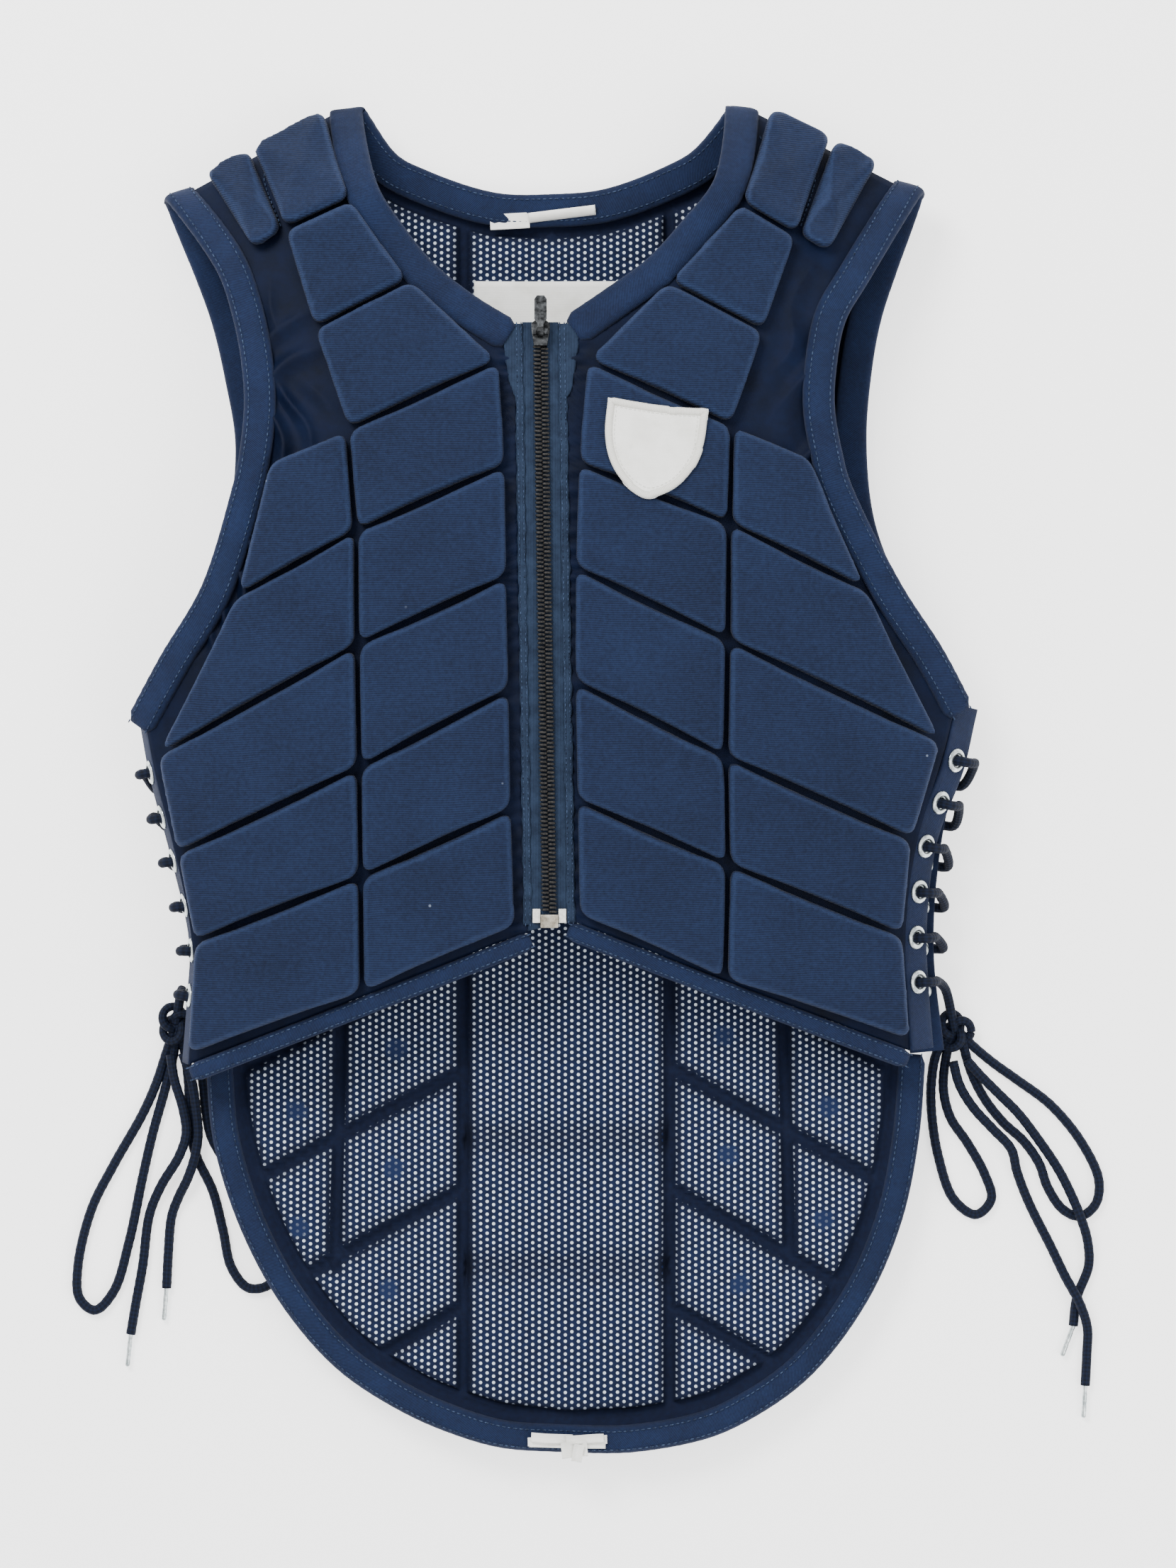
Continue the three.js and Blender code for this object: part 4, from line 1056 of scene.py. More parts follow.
def sewn_down(points, loop):
    """Moves the top's points into the seams, and says how far each is raised, vented and shaded."""
    near, valley = seam_field(points[:, :2])
    to_rim = rim_distance(points, points[loop])
    near = np.minimum(near, np.maximum(to_rim - RIM_MARGIN, 0))
    kept = np.clip(to_rim / RIM_MARGIN, 0, 1)
    share = np.clip((near - SEAM_HALF) / SEAM_EDGE, 0, 1)
    raised = share * share * (3 - 2 * share)
    crown = 1 - np.exp(-((near / (9 * MM)) ** 2))
    points[:, 2] += (-SEAM_DEPTH * (1 - raised) - CROSS_DEPTH * valley + CROWN * crown) * kept
    vent = np.zeros(len(points))
    for spot in VENTS:
        far = np.linalg.norm(points[:, :2] - np.array(spot), axis=1)
        vent = np.maximum(vent, np.clip((VENT_RADIUS - far) / (1.2 * MM), 0, 1))
    points[:, 2] -= VENT_DEPTH * vent
    # The last value is painted shade: darker close to the seams and in the soft valleys across the spine.
    return {"raised": raised, "vent": vent, "painted_shade": np.clip(1 - crown * 1.5, 0, 0.6) + 0.45 * valley}


def back_body():
    base = upper_sheet("back_lining", "back_top")
    under = link("back_under", base.data.copy())
    put_points(under.data, points_of(base.data) - normals_of(base.data) * BACK_HEIGHT)
    subdivided(under, UNDER_LEVELS)
    subdivided(base, TOP_LEVELS)
    points, below = points_of(base.data), points_of(under.data)
    fine, coarse = rim_loop(base.data), rim_loop(under.data)
    marks = sewn_down(points, fine)
    if fine[RIM_RATIO * 2 ** UNDER_LEVELS] != coarse[2 ** UNDER_LEVELS]:
        coarse = coarse[:1] + coarse[:0:-1]
    count = len(points)
    faces = [tuple(p.vertices) for p in base.data.polygons]
    top_count = len(faces)
    faces += [tuple(count + v for v in p.vertices) for p in under.data.polygons]
    for i, corner in enumerate(coarse):
        near_corner, far_corner = count + corner, count + coarse[(i + 1) % len(coarse)]
        run = [fine[(i * RIM_RATIO + k) % len(fine)] for k in range(RIM_RATIO + 1)]
        half = RIM_RATIO // 2
        faces += [(near_corner, run[k], run[k + 1]) for k in range(half)]
        faces.append((near_corner, run[half], far_corner))
        faces += [(far_corner, run[k], run[k + 1]) for k in range(half, RIM_RATIO)]
    body = mesh_from("back_body", np.vstack([points, below]), faces, MESH)
    body.data.materials.append(KNIT)
    body.data.polygons.foreach_set("material_index", [int(i >= top_count) for i in range(len(faces))])
    for name, values in marks.items():
        layer = body.data.attributes.new(name, "FLOAT", "POINT")
        layer.data.foreach_set("value", np.concatenate([values, np.zeros(len(below))]).astype(np.float32))
    for spare in (base, under):
        bpy.data.objects.remove(spare)
    piece(body, ["back_lining", "back_foam"])
    return body, points[fine]


back, BACK_RIM = back_body()
print("back", len(back.data.polygons), "faces")

# %% [markdown]
# ## Bindings
# A binding is tape folded round a raw edge. Each binding's solid is a skin over rings of six points between two end
# points, so walking out from one end, edge by edge, gives the rings back in order. From them come a middle line and
# the direction of the tape, and a rounder section with puckered edges is drawn along it.

# %% Rings of a band
RING_SIZE = 6
FLAT_END = 1e-3


def end_point(bm):
    """A vertex in the middle of a flat end."""
    for vertex in bm.verts:
        if len(vertex.link_faces) == RING_SIZE:
            first = vertex.link_faces[0].normal
            if all((face.normal - first).length < FLAT_END for face in vertex.link_faces):
                return vertex
    raise ValueError("the band has no flat end")


def band_frames(node, level=False):
    """Middle, sideways and upward vectors of each ring of a band's solid. A level band isn't tilted."""
    bm = bmesh.new()
    bm.from_mesh(nodes[node].data)
    bmesh.ops.remove_doubles(bm, verts=bm.verts, dist=0.02 * MM)
    bm.normal_update()
    layer = {end_point(bm)}
    seen = set(layer)
    rings = []
    while True:
        layer = {e.other_vert(v) for v in layer for e in v.link_edges} - seen
        if len(layer) != RING_SIZE:
            break
        seen |= layer
        rings.append([v.co.copy() for v in layer])
    bm.free()
    centres = [sum(ring, Vector()) / RING_SIZE for ring in rings]
    frames = []
    for i, (ring, centre) in enumerate(zip(rings, centres)):
        tangent = (centres[min(i + 1, len(rings) - 1)] - centres[max(i - 1, 0)]).normalized()
        side = max((p - q for p in ring for q in ring), key=lambda run: run.length).normalized()
        if level:
            side = tangent.cross(Vector((0, 0, 1))).normalized()
        if frames and side.dot(frames[-1][1]) < 0:
            side = -side
        frames.append((centre, side, tangent.cross(side).normalized()))
    return frames


# %% Draw a band
BAND_STEP = 2.5 * MM
BAND_SIDES = 20
PUCKER = 7 * MM
PUCKER_DEPTH = 0.35 * MM
RIM_OVERLAP = 2 * MM


def band_line(frames, step=BAND_STEP):
    """Smooth middles, sides and ups along a band."""
    middle = smooth_line([f[0] for f in frames], step)
    given = np.array([tuple(f[0]) for f in frames])
    lengths = np.concatenate([[0], np.cumsum(np.linalg.norm(np.diff(given, axis=0), axis=1))])
    places = np.linspace(0, lengths[-1], len(middle))
    turned = []
    for k in (1, 2):
        values = np.array([tuple(f[k]) for f in frames])
        mixed = np.stack([np.interp(places, lengths, values[:, a]) for a in range(3)], axis=1)
        turned.append(mixed / np.linalg.norm(mixed, axis=1, keepdims=True))
    return middle, turned[0], turned[1]


def draw_band(name, node, width, height, seed, away_from, shift, level=False):
    middle, side, up = band_line(band_frames(node, level))
    outward = np.sign(((middle - np.array((*away_from, 0)) * MM) * side)[:, :2].sum(axis=1))
    moved = np.full(len(middle), float(shift))
    if level:
        reach = width / 2 - RIM_OVERLAP - rim_distance(middle, BACK_RIM)
        moved = np.convolve(np.pad(np.minimum(moved, reach), 6, mode="edge"), np.ones(13) / 13, mode="valid")
    middle = middle + side * (outward * moved)[:, None]
    rings = []
    for i, (m, s, u) in enumerate(zip(middle, side, up)):
        closing = min(1.0, 0.72 + 0.14 * min(i, len(middle) - 1 - i))
        place = i * BAND_STEP
        wave = math.sin(2 * math.pi * place / PUCKER + seed + 1.7 * math.sin(place * 31 + seed))
        slow = math.sin(place * 23 + seed * 2) * 0.6 * MM
        ring = []
        for j in range(BAND_SIDES):
            angle = 2 * math.pi * j / BAND_SIDES
            across = math.copysign(abs(math.cos(angle)) ** 0.55, math.cos(angle))
            over = math.copysign(abs(math.sin(angle)) ** 0.75, math.sin(angle))
            edge = abs(across) ** 3 * PUCKER_DEPTH * wave
            ring.append(m + (s * (across * width / 2 + slow * 0.3) + u * (over * (height / 2) + edge)) * closing)
        rings.append(ring)
    band = ringed(name, rings, TWILL_TAPE, 2 * (width + height))
    piece(band, [node])
    return band, middle, side, up


def rows_over(middle, side, up, width, height, places):
    """Lines over a band's upper face, at shares of its half width."""
    lines = []
    for share in places:
        for sign in (1, -1):
            if up[len(up) // 2][2] * sign > 0:
                lines.append(middle + side * (share * width / 2) + up * (sign * height / 2 * STITCH_SEAT))
    return lines


STITCH_SEAT = 0.97
BANDS = {
    "armhole_binding_left": (18.5, 6.4, (-300, 160), 2.2),
    "armhole_binding_right": (18.5, 6.4, (300, 160), 2.2),
    "hem_binding_left": (11, 6.6, (0, 0), 0),
    "hem_binding_right": (11, 6.6, (0, 0), 0),
    "neck_binding": (19.5, 6.4, (-8, 450), 2.2),
    "tail_binding": (16, 11.5, (0, -150), -3, True),
}
for seed, (node, (width, height, away_from, shift, *level)) in enumerate(BANDS.items()):
    name = node.replace("_binding", "_tape")
    band, middle, side, up = draw_band(name, node, width * MM, height * MM, seed, away_from, shift * MM, *level)
    rows = rows_over(middle, side, up, width * MM, height * MM, (-0.66, 0.66))
    stitches(name + "_stitches", rows)
    print(name, round(line_length(middle), 3), "m")

# %% [markdown]
# ## Zip
# The tape keeps its solid's shape, smoothed. Each tooth is a small rounded block, and Geometry Nodes put one
# column on each side of the middle line, half a pitch apart, so that they seem to interlock.

# %% Tape and teeth
TOOTH_PITCH = 2.4 * MM
TOOTH = Vector((4.6, 1.5, 2.5)) * MM
TOOTH_OFFSET = 2.1 * MM
TAPE_HEIGHT = 0.3 * MM


def zip_tape():
    tape = merged_copy("zip_tape", "zip_cloth")
    crease_rim(tape)
    subdivided(tape, 3)
    painted(tape, TAPE)
    return piece(tape, ["zip_tape"])


def tooth_tree():
    tree = bpy.data.node_groups.new("Zip Teeth", "GeometryNodeTree")
    for name, kind, value in (
        ("Geometry", "NodeSocketGeometry", None), ("Pitch", "NodeSocketFloat", TOOTH_PITCH),
        ("Tooth", "NodeSocketVector", TOOTH), ("Plastic", "NodeSocketMaterial", None),
    ):
        socket = tree.interface.new_socket(name, in_out="INPUT", socket_type=kind)
        if value is not None:
            socket.default_value = value
    tree.interface.new_socket("Geometry", in_out="OUTPUT", socket_type="NodeSocketGeometry")
    make = tree.nodes.new
    join = tree.links.new
    entry, leave = make("NodeGroupInput"), make("NodeGroupOutput")
    spots, block = make("GeometryNodeCurveToPoints"), make("GeometryNodeMeshCube")
    soft, row = make("GeometryNodeSubdivisionSurface"), make("GeometryNodeInstanceOnPoints")
    real, smooth = make("GeometryNodeRealizeInstances"), make("GeometryNodeSetShadeSmooth")
    finish = make("GeometryNodeSetMaterial")
    spots.mode = "LENGTH"
    soft.inputs["Level"].default_value = 2
    soft.inputs["Edge Crease"].default_value = 0.35
    join(entry.outputs["Geometry"], spots.inputs["Curve"])
    join(entry.outputs["Pitch"], spots.inputs["Length"])
    join(entry.outputs["Tooth"], block.inputs["Size"])
    join(block.outputs["Mesh"], soft.inputs["Mesh"])
    join(spots.outputs["Points"], row.inputs["Points"])
    join(soft.outputs["Mesh"], row.inputs["Instance"])
    join(row.outputs["Instances"], real.inputs["Geometry"])
    join(real.outputs["Geometry"], smooth.inputs["Geometry"])
    join(smooth.outputs["Geometry"], finish.inputs["Geometry"])
    join(entry.outputs["Plastic"], finish.inputs["Material"])
    join(finish.outputs["Geometry"], leave.inputs["Geometry"])
    return tree


TAPE_TREE = tree_of("zip_tape")


def on_tape(x, y, rise):
    hit = TAPE_TREE.ray_cast(Vector((x, y, HIGH)), Vector((0, 0, -1)))[0]
    if hit is None:
        hit = TAPE_TREE.find_nearest(Vector((x, y, 0.07)))[0]
    return hit + Vector((0, 0, rise))


def zip_teeth():
    low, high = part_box("zip_teeth")
    lines = []
    for hand in (-1, 1):
        start = high.y - (0 if hand < 0 else TOOTH_PITCH / 2)
        line = []
        for y in np.arange(start, low.y + 7 * MM, -4 * MM):
            line.append(on_tape(zip_x(y) + hand * TOOTH_OFFSET, y, TAPE_HEIGHT + TOOTH.z / 2))
        lines.append(line)
    teeth = made_by("zip_chain", line_object("zip_chain_line", lines), tooth_tree(), plastic=TEETH)
    return piece(teeth, ["zip_teeth"])


def rounded_box(name, size, middle, material, bevel, segments=3):
    bm = bmesh.new()
    bmesh.ops.create_cube(bm, size=1.0, matrix=Matrix.Diagonal((*size, 1.0)))
    bmesh.ops.bevel(bm, geom=list(bm.edges), offset=bevel, segments=segments, profile=0.7, affect="EDGES")
    bmesh.ops.translate(bm, verts=bm.verts, vec=middle)
    mesh = bpy.data.meshes.new(name)
    bm.to_mesh(mesh)
    bm.free()
    return painted(link(name, mesh), material)


def zip_ends():
    """The pressed box at the foot, and the pale worn ends of the tape."""
    low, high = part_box("zip_teeth")
    foot = on_tape(zip_x(low.y + 4 * MM), low.y + 4 * MM, 2.2 * MM)
    box = rounded_box("zip_foot_box", Vector((10.2, 7.6, 3.4)) * MM, foot, BOX_METAL, 0.7 * MM)
    piece(box)
    for side, hand in SIDES.items():
        place = on_tape(foot.x + hand * 7.4 * MM, foot.y + 3 * MM, 0.9 * MM)
        end = rounded_box(f"tape_end_{side}", Vector((4.4, 8, 1.2)) * MM, place, WHITE_THREAD, 0.45 * MM)
        piece(end)


def bevelled(node, name, body, material, amount):
    thing = merged_copy(node, name)
    bevel = thing.modifiers.new("edges", "BEVEL")
    bevel.width = amount
    bevel.segments = 3
    bevel.limit_method = "ANGLE"
    bevel.angle_limit = math.radians(35)
    weighted = thing.modifiers.new("shade", "WEIGHTED_NORMAL")
    weighted.keep_sharp = True
    painted(thing, material)
    return piece(settled(thing), [node], body)


zip_tape()
zip_teeth()
zip_ends()
bevelled("zip_slider", "zip_runner", "vest", DARK_METAL, 0.45 * MM)
bevelled("zip_pull", "zip_tab", "zip_pull", DARK_METAL, 0.4 * MM)


# %% [markdown]
# A narrow facing covers the seam between the tape and the cloth on each side. It is wider at the collar, and two
# rows of stitches hold it.

# %% Facing and topstitching beside the zip
FACING_PLACE = 12.4 * MM
FACING_WIDTH = 4.8 * MM
COLLAR_WIDTH = 13 * MM
COLLAR_LENGTH = 42 * MM
FACING_HEIGHT = 1.8 * MM
TOP_ROWS = (11 * MM, 13.6 * MM)


def beside_zip(offset, rise):
    line = []
    for y in np.arange(ZIP_TOP.y - 1 * MM, ZIP_FOOT.y - 2 * MM, -6 * MM):
        line.append(on_tape(zip_x(y) + math.copysign(TAPE_READ, offset), y, rise))
        line[-1].x = zip_x(y) + offset
    return smooth_line(line, 2 * MM)


TAPE_READ = 9 * MM


def facing(side, hand):
    """A flat band with rounded edges along the zip."""
    line = beside_zip(hand * FACING_PLACE, 0.5 * MM)
    rings = []
    for i, (point, (_, _)) in enumerate(zip(line, carried_frames(line))):
        share = max(0.0, 1 - i * 2 * MM / COLLAR_LENGTH)
        width = FACING_WIDTH + (COLLAR_WIDTH - FACING_WIDTH) * share ** 0.6
        middle = Vector(point) + Vector((hand * (width - FACING_WIDTH) / 2, 0, 0))
        ripple = 0.25 * MM * math.sin(i * 1.1) + 0.2 * MM * math.sin(i * 0.37 + hand)
        ring = []
        for j in range(16):
            angle = 2 * math.pi * j / 16
            wide = math.copysign(abs(math.cos(angle)) ** 0.6, math.cos(angle)) * width / 2
            tall = math.copysign(abs(math.sin(angle)) ** 0.7, math.sin(angle)) * FACING_HEIGHT / 2
            ring.append(middle + Vector((wide + ripple, 0, tall + ripple * 0.6)))
        rings.append(ring)
    return piece(ringed(f"zip_facing_{side}", rings, TAPE, 2 * (COLLAR_WIDTH + FACING_HEIGHT)))


for side, hand in SIDES.items():
    facing(side, hand)
rows = [beside_zip(hand * row, 0.5 * MM + FACING_HEIGHT / 2) for hand in SIDES.values() for row in TOP_ROWS]
stitches("zip_topstitch", rows, pitch=3.0, length=2.2, thickness=0.8)

# %% [markdown]
# Rows of thread also show in the grooves of the shoulders. Their places are pixels of the photograph.

# %% Thread in the shoulder grooves
SHOULDER_ROWS = {
    "left": [[(352, 196), (372, 250), (398, 322)], [(440, 160), (456, 205), (480, 268)]],
    "right": [[(1172, 180), (1150, 250), (1128, 322)], [(1092, 158), (1078, 205), (1053, 268)]],
}
for side, rows in SHOULDER_ROWS.items():
    lines = []
    for row in rows:
        spots = [over_front(*px(*spot), 0.6 * MM, side)[0] for spot in row]
        lines.append(smooth_line(spots, 3 * MM))
    stitches(f"shoulder_stitches_{side}", lines)

# %% [markdown]
# ## Laced sides
# Each side is closed by one lace that runs round and round through facing eyelets. The eyelets sit on two cloth
# strips, one along the front's edge, turned down, and one along the back's. The strips follow the same few points
# as the solids, given as shares of half the vest's width and length.

# %% Strips and eyelets
HALF_WIDTH = 241 * MM
HALF_LENGTH = 394 * MM
EDGE_LIFT = 12.5 * MM
STRIP_WIDTH = 20 * MM
STRIP_THICKNESS = 3 * MM
EYELET_DIAMETER = 14 * MM
EYELET_BORE = 7.4 * MM
EYELET_RISE = 1.2 * MM
CORD = 5 * MM
LACE_CLEARANCE = 1.4 * MM
FRONT_EDGES = {
    "left": [(-0.965, 0.075), (-0.945, 0.01), (-0.895, -0.105), (-0.85, -0.234), (-0.857, -0.322), (-0.868, -0.412)],
    "right": [(0.955, 0.095), (0.93, 0.03), (0.862, -0.083), (0.838, -0.222), (0.845, -0.308), (0.856, -0.392)],
}
BACK_EDGES = {
    "left": [(-0.87, 0.06, 0.5), (-0.79, -0.1, 0.5), (-0.775, -0.25, 0.5), (-0.79, -0.4, 0.6)],
    "right": [(0.89, 0.06, 0.76), (0.84, -0.1, 0.76), (0.825, -0.25, 0.84), (0.85, -0.4, 0.92)],
}
FRONT_TURN = {"left": 74, "right": 45}
FRONT_LEAD = {"left": 2 * MM, "right": 1.4 * MM}
BACK_LEAD = 3 * MM
EYELET_COUNT = 6
EYELET_FIRST = 0.12
EYELET_LAST = 0.8


def front_edge(side):
    points = []
    for across, along in FRONT_EDGES[side]:
        x, y = across * HALF_WIDTH, along * HALF_LENGTH
        inner, _ = over_front(x * 0.995, y, 0, side)
        points.append(Vector((x, y, inner.z)))
    return points


def back_edge(side):
    return [Vector((x * HALF_WIDTH, y * HALF_LENGTH, BACK_HEIGHT + lift * EDGE_LIFT))
            for x, y, lift in BACK_EDGES[side]]


def strip_rows(edge, hand, turn, lead):
    """Rows of three points that run outwards from an edge and down by an angle."""
    rows = []
    for i, point in enumerate(edge):
        run = edge[min(i + 1, len(edge) - 1)] - edge[max(i - 1, 0)]
        run.z = 0
        run.normalize()
        out = Vector((run.y, -run.x, 0)) * -hand
        aim = out * math.cos(turn) + Vector((0, 0, -math.sin(turn)))
        rows.append([point + aim * (lead + STRIP_WIDTH * share) for share in (0, 0.5, 1)])
    return rows


def eyelets_of(rows, hand):
    """Middle, outward and through vectors of each eyelet."""
    middle = smooth_line([row[1] for row in rows], 0.5 * MM)
    edge = smooth_line([row[2] for row in rows], 0.5 * MM)
    found = []
    for i in range(EYELET_COUNT):
        share = EYELET_FIRST + i * (EYELET_LAST - EYELET_FIRST) / (EYELET_COUNT - 1)
        at = round(share * (len(middle) - 1))
        other = round(share * (len(edge) - 1))
        centre = Vector(middle[at])
        out = (Vector(edge[other]) - centre).normalized()
        run = Vector(middle[min(at + 1, len(middle) - 1)] - middle[at - 1]).normalized()
        through = (run.cross(out) * hand).normalized()
        found.append((centre - through * (STRIP_THICKNESS / 2), out, through))
    return found


# %% Cloth strips with holes, and metal eyelets
HOLE_SIDES = 20
STRIP_COLUMNS = 10
STRIP_START = 0.3


def strip_cloth(name, rows, eyelets, node):
    """A soft flat strip, cut by the eyelets' holes."""
    rows = [[a + (a - b) * STRIP_START for a, b in zip(rows[0], rows[1])]] + rows
    inner, middle, outer = (smooth_line([row[k] for row in rows], 5 * MM) for k in range(3))
    count = min(len(inner), len(outer), len(middle))
    rings = []
    for i in range(count):
        share = i / (count - 1)
        low, high = (Vector(line[round(share * (len(line) - 1))]) for line in (inner, outer))
        run = Vector(middle[min(i + 1, count - 1)] - middle[max(i - 1, 0)]).normalized()
        across = (high - low).normalized()
        up = run.cross(across).normalized()
        if up.z < 0:
            up = -up
        ring = []
        for j in range(2 * STRIP_COLUMNS):
            angle = 2 * math.pi * j / (2 * STRIP_COLUMNS)
            wide = math.copysign(abs(math.cos(angle)) ** 0.6, math.cos(angle))
            tall = math.copysign(abs(math.sin(angle)) ** 0.5, math.sin(angle))
            centre = (low + high) / 2 - up * (STRIP_THICKNESS / 2)
            ring.append(centre + across * (wide * STRIP_WIDTH / 2) + up * (tall * STRIP_THICKNESS / 2))
        rings.append(ring)
    strip = ringed(name, rings, TWILL_TAPE, 2 * (STRIP_WIDTH + STRIP_THICKNESS))
    bm = bmesh.new()
    for centre, _, through in eyelets:
        turn = Vector((0, 0, 1)).rotation_difference(through).to_matrix().to_4x4()
        bmesh.ops.create_cone(bm, cap_ends=True, segments=HOLE_SIDES, radius1=EYELET_BORE / 2,
                              radius2=EYELET_BORE / 2, depth=4 * STRIP_THICKNESS,
                              matrix=Matrix.Translation(centre) @ turn)
    cutter_mesh = bpy.data.meshes.new("holes")
    bm.to_mesh(cutter_mesh)
    bm.free()
    cutter = link("holes", cutter_mesh)
    holes = strip.modifiers.new("holes", "BOOLEAN")
    holes.object = cutter
    holes.solver = "EXACT"
    settled(strip)
    bpy.data.objects.remove(cutter)
    painted(strip, TWILL_TAPE)
    return piece(strip, [node])


def eyelet_ring(name, centre, through, face):
    """A rolled metal ring on one face of the strip."""
    radius, bore = EYELET_DIAMETER / 2, EYELET_BORE / 2 - 0.7 * MM
    seat = STRIP_THICKNESS / 2 * face
    profile = []
    for k in range(13):
        angle = math.pi * k / 12
        middle = (radius + bore) / 2
        profile.append((middle + (radius - bore) / 2 * math.cos(angle), seat + face * 1.5 * MM * math.sin(angle)))
    profile += [(bore, -seat * 0.6), (bore + 0.5 * MM, -seat * 0.6), (bore + 0.5 * MM, seat + face * 0.1 * MM)]
    turn = Vector((0, 0, 1)).rotation_difference(through).to_matrix()
    rings = []
    for i in range(28):
        angle = 2 * math.pi * i / 28
        spoke = Vector((math.cos(angle), math.sin(angle), 0))
        rings.append([centre + turn @ (spoke * r + Vector((0, 0, z))) for r, z in profile])
    ring = ringed(name, rings, PALE_METAL, 30 * MM, closed=True)
    return piece(ring)


laced = {}
for side, hand in SIDES.items():
    front_rows = strip_rows(front_edge(side), hand, math.radians(FRONT_TURN[side]), FRONT_LEAD[side])
    back_rows = strip_rows(back_edge(side), hand, 0, BACK_LEAD)
    front_eyelets = eyelets_of(front_rows, hand)
    back_eyelets = eyelets_of(back_rows, hand)
    strip_cloth(f"front_strip_{side}", front_rows, front_eyelets, f"front_eyelet_strip_{side}")
    strip_cloth(f"back_strip_{side}", back_rows, back_eyelets, f"back_eyelet_strip_{side}")
    for i, (centre, _, through) in enumerate(front_eyelets, 1):
        eyelet_ring(f"front_eyelet_{i}_{side}", centre, through, 1)
    for i, (centre, _, through) in enumerate(back_eyelets, 1):
        eyelet_ring(f"back_eyelet_{i}_{side}", centre, through, 1)
    laced[side] = (front_eyelets, back_eyelets)
    print(side, "first eyelet", [round(c / MM) for c in front_eyelets[0][0]], "mm")

# %% [markdown]
# The lace of each side goes round and round, up through a front eyelet, over the edge and down through the back
# one. It ends in a bow: a knot, two loops and two free ends with tin tips. All of them are tubes along smooth
# lines, whose points are measured in the photograph.

# %% Places of the bows, in millimetres
KNOTS = {"left": (-220, -141, 8), "right": (235, -145, 8)}
LOOPS = {
    "left": [
        [(-220, -141, 8), (-226, -158, 4), (-232, -176, 2.9), (-240, -194, 2.9), (-257, -224, 2.9),
         (-270, -250, 2.9), (-278, -284, 2.9), (-277, -302, 2.9), (-268, -309, 2.9), (-257, -298, 2.9),
         (-248, -269, 2.9), (-240, -231, 2.9), (-234, -205, 2.9), (-227, -180, 2.9), (-222, -160, 4),
         (-219, -141, 8)],
        [(-218, -141, 8), (-215, -160, 3.5), (-213, -178, 2.9), (-213, -192, 2.9), (-212, -206, 2.9),
         (-208, -220, 2.9), (-199, -239, 2.9), (-193, -262, 2.9), (-188, -284, 2.9), (-178, -296, 2.9),
         (-166, -294, 2.9), (-161, -283, 2.9), (-167, -265, 2.9), (-178, -246, 2.9), (-190, -225, 2.9),
         (-200, -207, 2.9), (-203, -192, 2.9), (-205, -174, 2.9), (-209, -158, 4), (-217, -141, 8)],
    ],
    "right": [
        [(233, -145, 8), (225, -158, 4), (222, -174, 2.9), (222, -193, 2.9), (226, -219, 2.9),
         (235, -244, 2.9), (248, -253, 2.9), (257, -244, 2.9), (253, -229, 2.9), (243, -211, 2.9),
         (233, -196, 2.9), (229, -180, 2.9), (230, -163, 4), (234, -145, 8)],
        [(237, -145, 8), (246, -154, 4), (258, -164, 2.9), (272, -174, 2.9), (292, -189, 2.9),
         (310, -211, 2.9), (320, -233, 2.9), (318, -247, 2.9), (309, -254, 2.9), (299, -250, 2.9),
         (290, -237, 2.9), (285, -223, 2.9), (276, -210, 2.9), (264, -199, 2.9), (253, -185, 2.9),
         (245, -169, 3.5), (238, -145, 8)],
    ],
}
ENDS = {
    "left": [
        [(-223, -159, 10), (-221, -173, 8.9), (-216, -190, 8.8), (-214, -205, 8.8), (-218, -218, 8.7),
         (-229, -236, 5), (-236, -253, 2.9), (-240, -283, 2.9), (-244, -305, 2.9), (-247, -323, 2.9)],
        [(-216, -158, 9.6), (-211, -173, 8.9), (-208, -192, 8.8), (-207, -206, 8.8), (-209, -219, 8.7),
         (-213, -231, 8.6), (-219, -243, 4), (-223, -254, 2.9), (-225, -276, 2.9), (-226, -296, 2.9)],
    ],
    "right": [
        [(242, -162, 10), (250, -171, 8.9), (261, -182, 8.8), (272, -193, 8.7), (283, -207, 5),
         (296, -226, 2.9), (303, -240, 6), (309, -255, 8.8), (313, -268, 6), (314, -283, 2.9),
         (307, -302, 2.9), (305, -318, 2.9)],
        [(234, -163, 10), (238, -177, 8.9), (246, -190, 8.8), (257, -202, 8.8), (268, -214, 8.7),
         (272, -228, 4), (279, -246, 2.9), (292, -272, 2.9), (300, -289, 6), (308, -304, 8.8),
         (313, -319, 5), (313, -334, 2.9), (312, -353, 2.9)],
    ],
}
TIP_AIMS = {"left": [(-0.1, -1), (-0.08, -1)], "right": [(-0.35, -0.94), (-0.05, -1)]}

# %% Cords
CORD_STEP = 1.6 * MM
CORD_SIDES = 16
CORD_SWELL = 1.12
TIP_DIAMETER = 3.6 * MM
TIP_LENGTH = 20 * MM


def braided(place, angle):
    """A cord's radius: slightly ridged, because its strands cross."""
    turn = 2 * math.pi * place / BRAID_LENGTH
    return 1 + 0.035 * math.cos(BRAID_ROUND * angle) * math.cos(turn)


def cord(name, places, node=None, replaced=()):
    line = smooth_line(places, CORD_STEP)
    rope = tube(name, line, CORD * CORD_SWELL, BRAID, CORD_SIDES, shape=braided)
    piece(rope, replaced)
    return rope, line


